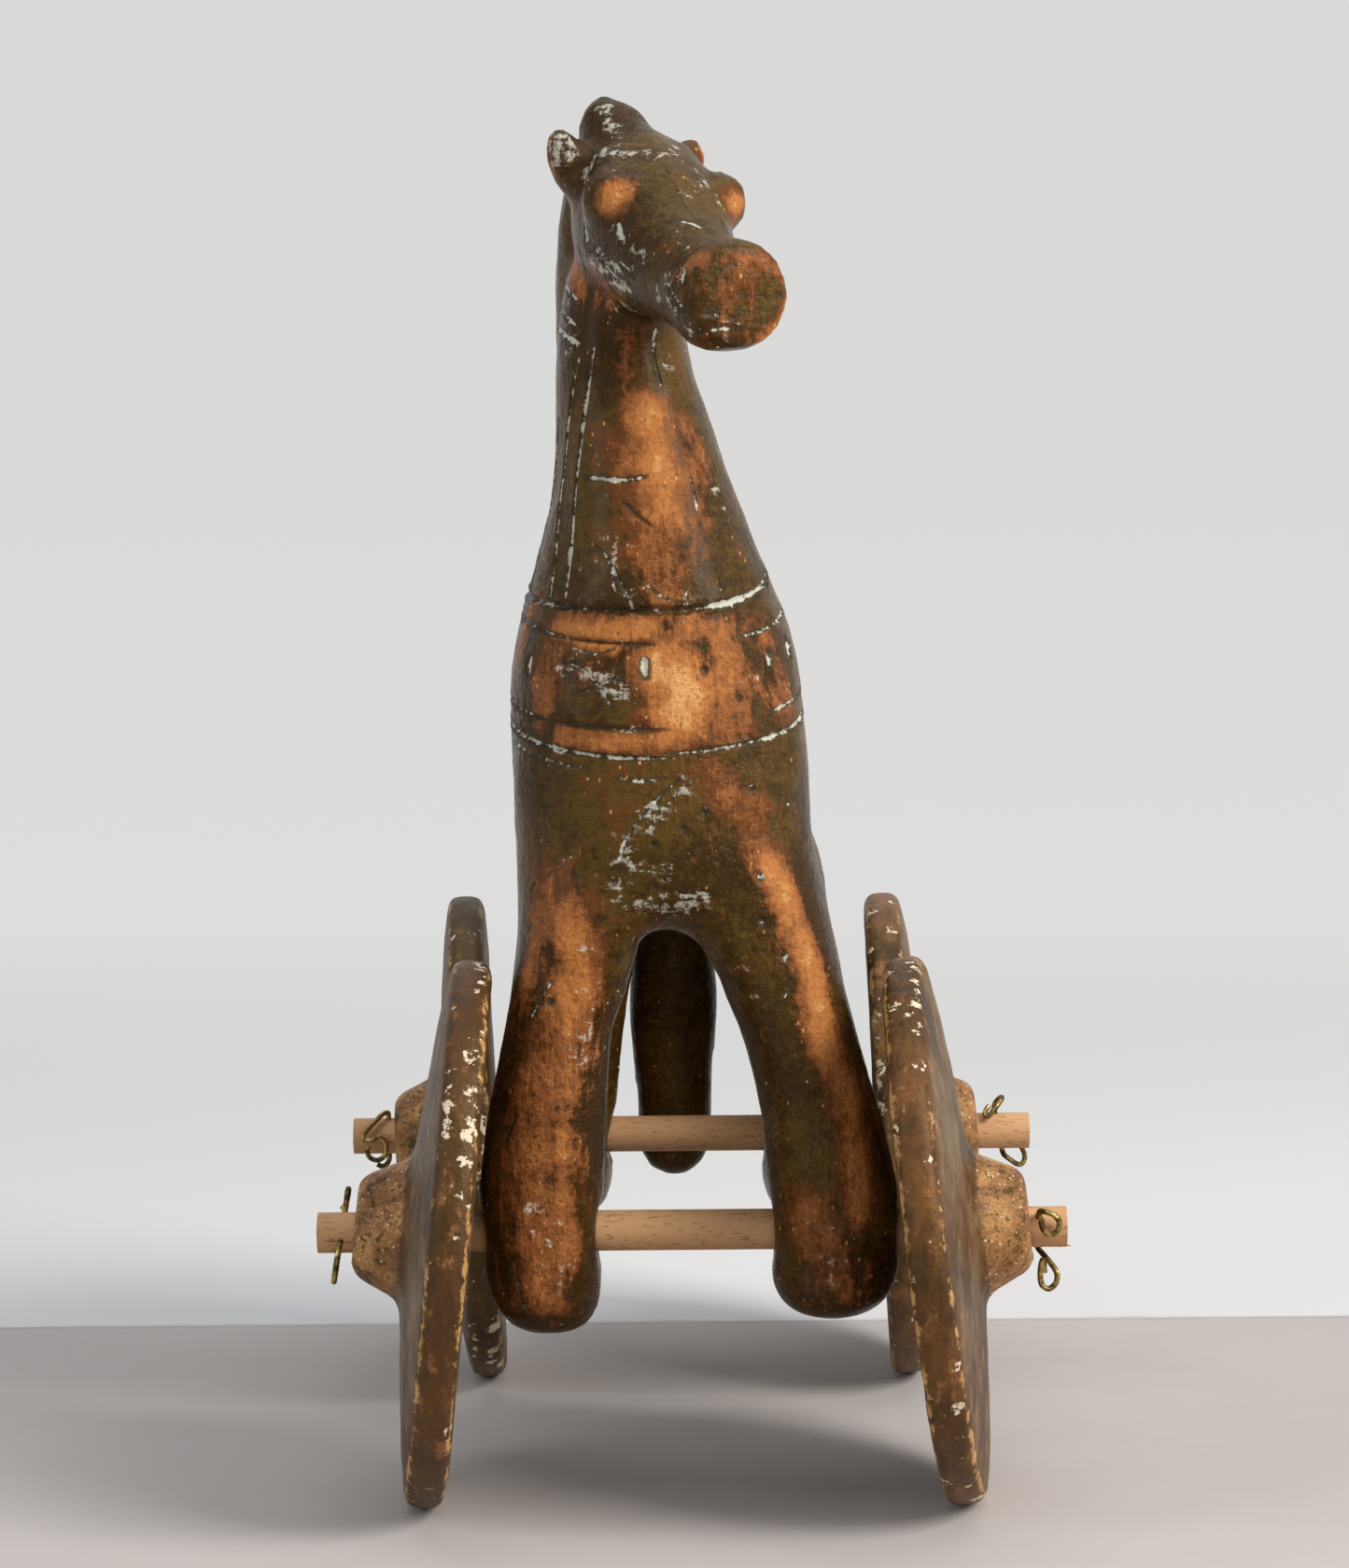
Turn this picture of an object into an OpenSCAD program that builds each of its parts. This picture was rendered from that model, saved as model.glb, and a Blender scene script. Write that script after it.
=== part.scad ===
// Horse on wheels: a fired-clay animal whose four legs are bored for two loose wooden axles.
// Four clay wheels turn on the axles and four bent wire pins keep them on.
// Millimetres. X is the animal's left-to-right seen from the front, it looks along -Y, Z is up.
// The origin is on the floor, midway between the axles.

/* [Pieces] */
// Piece to draw, or all of them

/* [Running gear] */
// Distance between the two axles
wheelbase = 125; // [100:1:150]
// Height of the axle centres above the floor
axle_height = 54; // [50:0.1:58]
// Diameter of the dowels used as axles
dowel_diameter = 8; // [6:0.1:10]
// Length of the front dowel
front_dowel_length = 147.6; // [140:0.1:160]
// Length of the rear dowel
rear_dowel_length = 152; // [140:0.1:160]
// Diameter of the bores through the legs and wheels
bore_diameter = 8.12; // [8:0.01:9]

/* [Wheels] */
// Diameter of a wheel over its rim
wheel_diameter = 108; // [90:0.5:120]
// Thickness of the rim
rim_thickness = 8; // [6:0.5:12]
// Radius of the rounded rim edges
rim_round = 2.6; // [1:0.1:3.5]
// Thickness of the disc where it meets the hub
disc_thickness = 12.6; // [9:0.1:15]
// Rise of the inner face from rim to bore
inner_rise = 0.6; // [0:0.1:2]
// Diameter of the hub at the disc
hub_base_diameter = 28; // [22:0.5:34]
// Diameter of the hub at its outer face
hub_face_diameter = 18; // [14:0.5:24]
// Length of the hub beyond the disc
hub_length = 10.4; // [8:0.1:14]
// Distance from the middle plane to the inner face of a wheel, at its centre
wheel_inboard = 43.6; // [43:0.1:46]
// The same distance for the rear right wheel, which sits closer in
wheel_inboard_rear_right = 41.4; // [41:0.1:46]

/* [Pins] */
// Diameter of the wire
wire_diameter = 1.2; // [0.8:0.1:2]
// Diameter of the hole through a dowel for the wire
pin_hole_diameter = 1.4; // [1.3:0.01:2.2]
// Distance from the middle plane to the front left pin
front_left_pin_station = 69.2; // [68.5:0.1:71]
// Distance from the middle plane to the front right pin
front_right_pin_station = 68.2; // [68:0.1:71]
// Distance from the middle plane to the rear left pin
rear_left_pin_station = 68.2; // [68:0.1:71]
// Distance from the middle plane to the rear right pin
rear_right_pin_station = 69.2; // [68:0.1:71]
// Sides of the bent wire
wire_sides = 10; // [8:2:16]

/* [Horse] */
// Height of the highest point, the crest of the mane
mane_top = 276; // [250:1:300]
// Angle the head is turned to the animal's own left
head_turn = 22; // [0:1:40]
// Points around each section of the body
section_points = 32; // [24:4:56]

/* [Hidden] */
half_base = wheelbase / 2;
dowel_r = dowel_diameter / 2;
bore_r = bore_diameter / 2;
wheel_r = wheel_diameter / 2;
wire_r = wire_diameter / 2;
// radius of the hole the clay disc is thrown around, opened out by the bore
pilot_r = 2;

// ---------------------------------------------------------------- lofts
// signed power, for rounded sections
function spow(v, p) = sign(v) * pow(abs(v), p);

// one closed section about centre c, half sizes a along u and b along v
function ring(c, u, v, a, b, p = 1, n = section_points) =
    [for (i = [0 : n - 1]) let (t = 360 * i / n) c + u * a * spow(cos(t), p) + v * b * spow(sin(t), p)];

// smooth value through the rows of a list of stations, k counted in rows
function smooth(rows, k) =
    let (
        m = len(rows) - 1,
        i = min(floor(k), m - 1),
        f = k - i,
        a = rows[max(i - 1, 0)],
        b = rows[i],
        c = rows[i + 1],
        d = rows[min(i + 2, m)]
    )
    0.5 * (2 * b + (c - a) * f + (2 * a - 5 * b + 4 * c - d) * f * f + (3 * b - 3 * c + d - a) * f * f * f);

// rows with extra ones put between them
function refine(rows, steps) =
    [for (k = [0 : (len(rows) - 1) * steps]) smooth(rows, k / steps)];

module skin(rings) {
    n = len(rings[0]);
    m = len(rings);
    sides = [
        for (i = [0 : m - 2], j = [0 : n - 1])
            each [
                [i * n + j, (i + 1) * n + (j + 1) % n, i * n + (j + 1) % n],
                [i * n + j, (i + 1) * n + j, (i + 1) * n + (j + 1) % n]
            ]
    ];
    first = [for (j = [0 : n - 1]) j];
    last = [for (j = [n - 1 : -1 : 0]) (m - 1) * n + j];
    polyhedron([for (r = rings) each r], concat(sides, [first, last]));
}

// upright limb: rows are [z, left, right, front, back]
module upright(rows, steps = 3, p = 0.92, n = section_points) {
    skin([
        for (s = refine(rows, steps))
            ring(
                [(s[1] + s[2]) / 2, (s[3] + s[4]) / 2, s[0]],
                [1, 0, 0], [0, 1, 0],
                max(0.4, (s[2] - s[1]) / 2), max(0.4, (s[4] - s[3]) / 2), p, n
            )
    ]);
}

// ---------------------------------------------------------------- horse
chest_and_neck = [
    [114, -22, 12, -68, -44],
    [119, -33.2, 26.4, -75.5, -36],
    [131, -34.3, 24.8, -78, -33],
    [147, -34.9, 24, -78.5, -31],
    [161, -35.2, 22.6, -77.5, -24],
    [172, -33.8, 20.6, -76.5, -20.5],
    [186, -29.6, 15, -74, -22.5],
    [200, -26.3, 9.6, -71.5, -26],
    [214, -25.6, 5, -68.5, -29.5],
    [228, -25.4, 0.6, -66, -32.5],
    [242, -23, 0.2, -64.5, -35],
    [252, -18, -4, -60, -41]
];

trunk = [
    // y, centre x, centre z, half width, half height
    [-62, -5.5, 147, 26, 24],
    [-48, -5, 147, 27.5, 27],
    [-28, -3.5, 147.5, 24.5, 24.5],
    [0, -1.5, 145, 22, 21.5],
    [28, -1.5, 144.5, 22.5, 22.5],
    [52, -2.5, 145, 24.5, 25.5],
    [68, -3, 145, 22.5, 23.5],
    [77, -3.5, 145, 16, 16.5],
    [80.5, -3.5, 145, 7, 7.5]
];

front_left_leg = [
    [34.2, -32.5, -24, -67, -58],
    [36, -36.5, -20.4, -71.5, -53.5],
    [41, -40, -17.8, -75, -50],
    [57, -42.2, -17.3, -76.5, -48.5],
    [76, -40.5, -16.6, -76, -49],
    [94.4, -36.8, -15.5, -75, -48],
    [104, -35.2, -13.5, -75, -46],
    [114.6, -34.2, -4.3, -75.5, -42],
    [126, -33.6, 3, -76, -38],
    [142, -31, 2, -72, -44]
];

front_right_leg = [
    [36.4, 23.5, 32, -67, -58],
    [38.2, 19, 36.6, -71.5, -53.5],
    [43, 15.6, 40.4, -75, -50],
    [57, 14.6, 41.6, -76.5, -48.5],
    [76, 13.8, 37.7, -76, -49],
    [94.4, 9.3, 32.6, -75, -48],
    [104, 4.8, 30.1, -75, -46],
    [114.6, -4.3, 28, -75.5, -42],
    [126, -12, 25.6, -76, -38],
    [142, -12, 22, -72, -44]
];

rear_left_leg = [
    [35, -33, -24, 57.5, 66.5],
    [37, -37, -20.4, 53.5, 71.5],
    [42, -40.4, -17.8, 50, 75],
    [57, -41.8, -16.8, 48.6, 76.3],
    [76, -38.6, -15, 48, 76.5],
    [94, -33.5, -12, 46, 77],
    [108, -30.5, -8, 42, 77.5],
    [121, -28.6, 0, 38, 77],
    [138, -24, 4, 36, 75]
];

rear_right_leg = [
    [35, 22.4, 31.2, 57.5, 66.5],
    [37, 18.6, 35.4, 53.5, 71.5],
    [42, 16, 38.4, 50, 75],
    [57, 15, 39.2, 48.6, 76.3],
    [76, 13.6, 36.4, 48, 76.5],
    [94, 10.5, 33.2, 46, 77],
    [108, 5, 31, 42, 77.5],
    [121, -4, 28.6, 38, 77],
    [138, -8, 20, 36, 75]
];

tail = [
    [43.4, -6, -1.6, 75, 79],
    [45, -9, 1.4, 72.4, 81.6],
    [50, -10.9, 3.4, 70.6, 83.2],
    [60, -11.4, 3.8, 70.2, 83.8],
    [80, -12.8, 4.9, 70, 84.6],
    [100, -13.4, 5.6, 69, 85.4],
    [125, -13.5, 6.5, 66, 86],
    [145, -13, 7.5, 62, 84],
    [158, -8, 4, 60, 76]
];

head = [
    // distance ahead of the poll, centre height, half width, half height
    [-7, 250, 5, 9],
    [-3, 251.5, 10.5, 15],
    [5, 252.5, 13.2, 18],
    [15, 250, 13.8, 17.4],
    [25, 246, 12.4, 14.6],
    [34, 241, 10.1, 11.4],
    [41, 237.6, 9.2, 9.8],
    [43.5, 236.8, 9.8, 10],
    [49, 235.8, 10.9, 10.2],
    [53.4, 235.6, 10.4, 9.8],
    [55.6, 235.5, 8.2, 7.8],
    [56.4, 235.5, 4.6, 4.4]
];
poll = [-11, -52, 0];
ahead = [sin(head_turn), -cos(head_turn), 0];
aside = [cos(head_turn), sin(head_turn), 0];
up = [0, 0, 1];

mane = [
    // x, y, z, half thickness, half depth
    [-13.2, -50, mane_top - 9, 2, 3],
    [-14.2, -46, mane_top - 11, 6, 7],
    [-18, -41, mane_top - 19, 6, 9],
    [-20, -36, mane_top - 36, 5.6, 9],
    [-19.6, -31.5, mane_top - 58, 5.4, 9.5],
    [-14.5, -27, mane_top - 80, 5.2, 10],
    [-9.5, -20, mane_top - 98, 4.8, 9],
    [-6, -9, mane_top - 109.5, 3.6, 6]
];

module trunk_body() {
    skin([
        for (s = refine(trunk, 2))
            ring([s[1], s[0], s[2]], [-1, 0, 0], [0, 0, 1], max(0.4, s[3]), max(0.4, s[4]), 0.95)
    ]);
}

module head_body() {
    skin([
        for (s = refine(head, 2))
            ring(poll + ahead * s[0] + up * s[1], aside, up, max(0.4, s[2]), max(0.4, s[3]), 0.95)
    ]);
    // lower lip, a shallow roll under the muzzle
    translate(poll + ahead * 48.5 + up * 229.2) rotate([0, 0, head_turn]) scale([8.2, 5, 3.6]) sphere(1, $fn = 24);
}

module mane_ridge() {
    rows = refine(mane, 2);
    m = len(rows) - 1;
    skin([
        for (i = [0 : m])
            let (
                s = rows[i],
                a = rows[max(i - 1, 0)],
                b = rows[min(i + 1, m)],
                t = [b[0] - a[0], b[1] - a[1], b[2] - a[2]] / norm([b[0] - a[0], b[1] - a[1], b[2] - a[2]]),
                w = cross(t, [1, 0, 0]) / norm(cross(t, [1, 0, 0]))
            )
            ring([s[0], s[1], s[2]], [1, 0, 0], w, max(0.4, s[3]), max(0.4, s[4]), 0.9, 24)
    ]);
    // forelock, the peak between the ears
    translate([-12.6, -52.5, mane_top - 13.4]) scale([8.6, 8.2, 13.4]) sphere(1, $fn = 28);
}

module ear(side) {
    // a rounded lobe leaning outwards
    translate(poll + ahead * 2.5 + aside * (side > 0 ? 10.4 : -12.6) + up * (side > 0 ? 261.4 : 262.6))
        rotate([0, 0, head_turn])
            rotate([0, 24 * side, 0])
                scale([4.2, 4.4, 8.2]) sphere(1, $fn = 24);
}

module eye(side) {
    translate(poll + ahead * 18.5 + aside * (1.1 + 11 * side) + up * 254.8)
        rotate([0, 0, head_turn])
            scale([4.6, 5, 5.2]) sphere(1, $fn = 24);
}

module horse_skin() {
    // one closed surface, kept at its own height
    resize([0, 0, mane_top - front_left_leg[0][0]])
        union() {
            upright(chest_and_neck, 2, 0.94);
            trunk_body();
            upright(front_left_leg, 2, 0.9, 22);
            upright(front_right_leg, 2, 0.9, 22);
            upright(rear_left_leg, 2, 0.9, 22);
            upright(rear_right_leg, 2, 0.9, 22);
            upright(tail, 2, 1, 20);
            head_body();
            mane_ridge();
            for (side = [-1, 1]) {
                ear(side);
                eye(side);
            }
        }
}

module cross_bore(y) {
    translate([-60, y, axle_height]) rotate([0, 90, 0]) cylinder(120, r = bore_r, $fn = 64);
}

module horse() color([0.27, 0.19, 0.09]) {
    difference() {
        horse_skin();
        cross_bore(-half_base);
        cross_bore(half_base);
    }
}

// ---------------------------------------------------------------- axles
// each pin is [side, y, station, tilt towards the front, lean outwards]
fl_pin = [-1, -half_base, front_left_pin_station, -35, -8];
fr_pin = [1, -half_base, front_right_pin_station, 50, 0];
rl_pin = [-1, half_base, rear_left_pin_station, 8, 0];
rr_pin = [1, half_base, rear_right_pin_station, 4, -11];

// turns Z to a pin's shank, about the point where it crosses the dowel's axis
module along_shank(pin) {
    translate([pin[0] * pin[2], pin[1], axle_height]) rotate([pin[3], pin[0] * pin[4], 0]) children();
}

module dowel(length, y, left, right) {
    difference() {
        translate([-length / 2, y, axle_height]) rotate([0, 90, 0]) cylinder(length, r = dowel_r, $fn = 64);
        for (pin = [left, right])
            along_shank(pin) cylinder(dowel_diameter + 4, d = pin_hole_diameter, center = true, $fn = 24);
    }
}

module front_axle() color([0.78, 0.62, 0.48]) dowel(front_dowel_length, -half_base, fl_pin, fr_pin);
module rear_axle() color([0.78, 0.62, 0.48]) dowel(rear_dowel_length, half_base, rl_pin, rr_pin);

// ---------------------------------------------------------------- wheels
// half section, radius against distance outboard of the inner face at the centre
module wheel_section() {
    edge_in = inner_rise;
    edge_out = inner_rise + rim_thickness;
    hub_r = hub_base_diameter / 2;
    face_r = hub_face_diameter / 2;
    top = disc_thickness + hub_length;
    polygon(concat(
        [[pilot_r, 0], [hub_r, 0.15]],
        [for (t = [-90 : 15 : -15])
            [wheel_r - rim_round + rim_round * cos(t), edge_in + rim_round + rim_round * sin(t)]],
        [[wheel_r, (edge_in + edge_out) / 2]],
        [for (t = [15 : 15 : 90])
            [wheel_r - rim_round + rim_round * cos(t), edge_out - rim_round + rim_round * sin(t)]],
        [[wheel_r - 9, edge_out + 1.2], [hub_r + 2.4, disc_thickness], [hub_r, disc_thickness + 0.9]],
        [[hub_r - 1.2, disc_thickness + 3.4], [face_r + 1.4, top - 1.8], [face_r, top - 0.5], [face_r - 1.2, top]],
        [[pilot_r, top]]
    ));
}

// side -1 is the animal's left in the picture plane, lean tips the top inboard, toe turns the front edge inboard
module wheel(side, y, inboard, lean, toe) {
    // height that sets the tilted rim on the floor
    rim_c = wheel_r - rim_round;
    half_flat = rim_thickness / 2 - rim_round;
    middle = inner_rise + rim_thickness / 2;
    drop = rim_c * cos(lean) + half_flat * abs(sin(lean)) + rim_round;
    difference() {
        translate([side * inboard, y, drop - middle * sin(lean)])
            rotate([0, 0, -side * toe])
                rotate([0, -side * lean, 0])
                    rotate([0, side * 90, 0])
                        rotate([0, 0, 37]) rotate_extrude($fn = 96) wheel_section();
        translate([side * (inboard - 12), y, axle_height])
            rotate([0, side * 90, 0]) rotate([0, 0, 61]) cylinder(50, r = bore_r, $fn = 64);
    }
}

module wheel_front_left() color([0.42, 0.25, 0.14]) wheel(-1, -half_base, wheel_inboard, 5.9, 2.5);
module wheel_front_right() color([0.47, 0.30, 0.19]) wheel(1, -half_base, wheel_inboard, 6.8, 4.5);
module wheel_rear_left() color([0.44, 0.30, 0.17]) wheel(-1, half_base, wheel_inboard, -2.2, 2);
module wheel_rear_right() color([0.52, 0.37, 0.25]) wheel(1, half_base, wheel_inboard_rear_right, 3.1, 2);

// ---------------------------------------------------------------- pins
reach = dowel_r + 0.9;

function unit(v) = v / norm(v);
// the way a shank points, up
function shank_way(pin) =
    [sin(pin[0] * pin[4]) * cos(pin[3]), -sin(pin[3]), cos(pin[0] * pin[4]) * cos(pin[3])];
// frames carried along a path without twist
function carried(ways, u, i = 0) =
    i == len(ways) ? [] :
    let (v = unit(u - ways[i] * (u * ways[i])))
    concat([v], carried(ways, v, i + 1));

// wire bent along points, round, with a ring at each step
module bent_wire(points, steps = 3) {
    path = refine(points, steps);
    m = len(path) - 1;
    ways = [for (i = [0 : m]) unit(path[min(i + 1, m)] - path[max(i - 1, 0)])];
    sides = carried(ways, [1, 0.01, 0.02]);
    skin([
        for (i = [0 : m])
            ring(path[i], sides[i], cross(ways[i], sides[i]), wire_r - 0.02, wire_r - 0.02, 1, wire_sides)
    ]);
}

// straight shank through the dowel, bent on above and below it along [outward, back, up]
module pin(pin, above, below) {
    side = pin[0];
    way = shank_way(pin);
    along_shank(pin) cylinder(2 * reach, r = wire_r, center = true, $fn = 16);
    translate([side * pin[2], pin[1], axle_height])
        for (part = [[1, above], [-1, below]])
            bent_wire(concat(
                [way * part[0] * (reach - 1), way * part[0] * (reach - 0.3)],
                [for (p = part[1]) [side * p[0], p[1], p[2]]]
            ));
}

// closed eye behind and above, open loop that comes up in front, both seen edge-on
module pin_front_left() color([0.36, 0.30, 0.12]) pin(
    fl_pin,
    [[-0.7, 3.4, 4.7], [-0.9, 3.0, 6.2], [-1.05, 3.9, 7.6], [-1.1, 5.4, 7.8], [-0.9, 6.7, 6.6], [-0.5, 6.7, 4.9],
        [-0.2, 5.6, 3.9], [0.1, 4.8, 4.2]],
    [[0.65, -3.0, -4.7], [0.9, -2.7, -6.2], [1.15, -2.7, -7.8], [1.3, -3.6, -9.0], [1.2, -4.9, -8.6],
        [0.9, -5.6, -6.8], [0.5, -5.8, -4.4], [0.1, -5.6, -2.2], [-0.3, -5.5, -0.4]]
);

// closed eye hangs in front of the dowel, open teardrop loop below
module pin_front_right() color([0.36, 0.30, 0.12]) pin(
    fr_pin,
    [[0.0, -4.7, 3.75], [0.5, -5.5, 4.0], [1.5, -5.7, 3.8], [3.0, -5.6, 3.1], [3.9, -5.5, 1.6], [3.3, -5.5, -0.1],
        [2.0, -5.5, -0.8], [0.8, -5.7, 0.2], [0.3, -6.1, 1.6], [0.3, -6.8, 2.7]],
    [[0.0, 4.3, -3.9], [0.4, 4.3, -5.0], [1.4, 3.3, -6.2], [2.9, 2.0, -7.9], [3.9, 1.3, -9.6], [3.7, 1.0, -11.4],
        [2.3, 0.8, -12.6], [0.9, 0.6, -11.8], [0.55, 0.4, -10], [0.6, 0.2, -8.3], [0.85, 0.6, -7.2],
        [1.15, 1.5, -7.0], [1.4, 2.0, -8.0], [1.5, 2.0, -9.6]]
);

// long bend over the front of the dowel into a closed eye, short tail below
module pin_rear_left() color([0.36, 0.30, 0.12]) pin(
    rl_pin,
    [[0.1, -1.1, 5.4], [1.1, -2.2, 5.3], [2.6, -3.8, 4.0], [4.2, -5.0, 2.5], [5.3, -5.6, 1.1], [5.0, -5.9, -0.1],
        [3.6, -6.0, -0.2], [2.2, -5.7, 0.5], [0.9, -5.5, 0.0], [0.2, -5.5, -1.6], [0.6, -5.5, -3.6], [2.2, -5.5, -4.7],
        [3.9, -5.5, -4.1], [4.6, -5.6, -2.6], [4.0, -5.7, -1.6]],
    [[0.1, 1.0, -5.6], [0.7, 1.4, -6.7], [1.8, 1.6, -7.2], [2.8, 1.6, -6.7]]
);

// eye folded forwards and seen edge-on above, open loop swung outwards below
module pin_rear_right() color([0.36, 0.30, 0.12]) pin(
    rr_pin,
    [[-0.9, 0.3, 5.6], [-0.3, 0.8, 6.6], [0.5, 0.4, 7.4], [0.8, -0.9, 7.5], [0.0, -2.4, 6.5], [-1.4, -3.7, 5.0],
        [-2.6, -4.2, 3.7], [-3.2, -3.3, 4.0], [-2.9, -2.0, 4.9], [-2.2, -1.1, 5.7]],
    [[1.2, -0.7, -5.4], [2.2, -1.0, -6.2], [3.9, -1.0, -7.4], [5.1, -0.3, -7.7], [5.9, 0.9, -6.9], [6.0, 2.3, -5.6],
        [5.4, 3.5, -4.3]]
);

horse();
front_axle();
rear_axle();
wheel_front_left();
wheel_front_right();
wheel_rear_left();
wheel_rear_right();
pin_front_left();
pin_front_right();
pin_rear_left();
pin_rear_right();
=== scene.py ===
"""Horse on wheels: the looks of the clay, the dowels and the wire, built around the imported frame."""

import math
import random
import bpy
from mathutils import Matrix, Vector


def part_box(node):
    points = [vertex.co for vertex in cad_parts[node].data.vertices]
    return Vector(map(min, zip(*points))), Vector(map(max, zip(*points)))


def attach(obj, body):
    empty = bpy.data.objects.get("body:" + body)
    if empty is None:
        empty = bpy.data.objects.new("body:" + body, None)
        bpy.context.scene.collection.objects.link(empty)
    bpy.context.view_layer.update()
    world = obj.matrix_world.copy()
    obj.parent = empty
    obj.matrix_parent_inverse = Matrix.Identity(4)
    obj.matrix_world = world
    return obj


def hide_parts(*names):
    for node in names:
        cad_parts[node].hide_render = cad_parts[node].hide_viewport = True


bl_info = {
    "name": "Horse on wheels",
    "version": (1, 0, 0),
    "blender": (4, 5, 0),
    "location": "View3D > Sidebar > Horse on wheels",
    "description": "Fired-clay horse on four clay wheels with dowel axles and wire pins",
    "category": "Object",
}

import bmesh
import bpy
from mathutils import Matrix, Vector, kdtree, noise
from mathutils.bvhtree import BVHTree

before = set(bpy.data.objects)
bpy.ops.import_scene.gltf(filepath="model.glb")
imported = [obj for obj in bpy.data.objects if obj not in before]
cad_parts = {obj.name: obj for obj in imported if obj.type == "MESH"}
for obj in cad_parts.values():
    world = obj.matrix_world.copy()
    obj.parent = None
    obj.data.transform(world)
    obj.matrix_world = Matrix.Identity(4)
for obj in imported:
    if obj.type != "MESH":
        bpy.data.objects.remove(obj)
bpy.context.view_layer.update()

MM = 0.001
WHEELS = ("wheel_front_left", "wheel_front_right", "wheel_rear_left", "wheel_rear_right")
DOWELS = ("front_axle", "rear_axle")
BORE_PLAY = 0.25 * MM  # room round a dowel in the skins' bores
FINE_ROUNDS, FINE_BAND, FINE_SHRINK = 2, 1.6 * MM, 0.62  # how the skin is refined beside a mark
PINS = ("pin_front_left", "pin_front_right", "pin_rear_left", "pin_rear_right")


# ---------------------------------------------------------------- settings
def colour(label, text, value):
    return bpy.props.FloatVectorProperty(
        name=label, description=text, default=value, size=3, min=0, max=1, subtype="COLOR"
    )


def length(label, text, millimetres):
    return bpy.props.FloatProperty(
        name=label, description=text, default=millimetres * MM, min=0,
        unit="LENGTH", subtype="DISTANCE", precision=5,
    )


class HorseSettings(bpy.types.PropertyGroup):
    patina: colour("Patina", "Dark olive-brown skin of the clay", (0.040, 0.0175, 0.0035))
    olive: colour("Olive", "Lighter olive bloom on the patina", (0.118, 0.066, 0.0110))
    russet: colour("Russet", "Thinner, redder patina", (0.135, 0.042, 0.0115))
    brown: colour("Brown", "Half-rubbed brown clay", (0.255, 0.088, 0.026))
    clay: colour("Clay", "Fired clay where the patina is rubbed through", (0.47, 0.172, 0.046))
    ochre: colour("Ochre", "Lightest, most rubbed clay", (0.72, 0.38, 0.135))
    deposit: colour("Deposit", "Pale chalky film left in lines and pits", (0.68, 0.67, 0.56))
    skin_step: length("Skin step", "Spacing of the points on the body's skin", 1.45)
    line_width: length("Line width", "Half width of an incised line", 0.50)
    line_depth: length("Line depth", "Depth of an incised line", 0.55)


class WheelSettings(bpy.types.PropertyGroup):
    patina: colour("Patina", "Dark brown skin of the wheels", (0.046, 0.021, 0.006))
    film: colour("Film", "Grey-olive dust on the flat faces", (0.150, 0.118, 0.056))
    clay: colour("Clay", "Bare clay of the hubs and worn rims", (0.340, 0.150, 0.055))
    rim: colour("Rim", "Ochre of rubbed edges", (0.560, 0.320, 0.110))
    flake: colour("Flake", "Cream of the chips and specks", (0.78, 0.68, 0.48))
    skin_step: length("Skin step", "Spacing of the points on a wheel's skin", 1.05)
    chip: length("Chip", "Usual radius of a rim chip", 1.9)


class DowelSettings(bpy.types.PropertyGroup):
    beech: colour("Beech", "Plain wood of the dowels", (0.68, 0.385, 0.18))
    fleck: colour("Fleck", "Short dark rays in the wood", (0.27, 0.125, 0.055))
    splinter: length("Splinter", "Length of the torn fibre on the front dowel", 2.6)


class WireSettings(bpy.types.PropertyGroup):
    brass: colour("Brass", "Bright metal of the wire", (0.52, 0.38, 0.13))
    tarnish: colour("Tarnish", "Dark skin on the wire", (0.085, 0.060, 0.022))


class StageSettings(bpy.types.PropertyGroup):
    wall: colour("Wall", "Pale ground behind the horse", (0.72, 0.715, 0.705))
    floor: colour("Floor", "Pale ground under the horse", (0.53, 0.49, 0.465))
    dust: colour("Dust", "Darker clouds on the ground", (0.44, 0.405, 0.385))
    edge: length("Edge", "Distance back to the line where the floor meets the wall", 118)
    lens: bpy.props.FloatProperty(name="Lens", description="Focal length in millimetres", default=101.8, min=10)


# ---------------------------------------------------------------- node trees
class Mask:
    """A number in a node tree. Arithmetic on it adds Math nodes."""

    def __init__(self, finish, socket):
        self.finish = finish
        self.socket = socket

    def maths(self, operation, *values, clamp=False):
        sockets = {i: v for i, v in enumerate(values)}
        return self.finish.number("ShaderNodeMath", {"operation": operation, "use_clamp": clamp}, sockets)

    def __add__(self, other):
        return self.maths("ADD", self, other)

    def __mul__(self, other):
        return self.maths("MULTIPLY", self, other)

    __radd__ = __add__
    __rmul__ = __mul__

    def __sub__(self, other):
        return self.maths("SUBTRACT", self, other)

    def __rsub__(self, other):
        return self.maths("SUBTRACT", other, self)

    def __abs__(self):
        return self.maths("ABSOLUTE", self)

    def most(self, other):
        return self.maths("MAXIMUM", self, other)

    def step(self, low, high):
        """0 below low, 1 above high, smooth between; low may be the larger."""
        sockets = {"Value": self, "From Min": low, "From Max": high, "To Min": 0.0, "To Max": 1.0}
        settings = {"interpolation_type": "SMOOTHSTEP"}
        return self.finish.number("ShaderNodeMapRange", settings, sockets)


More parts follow.
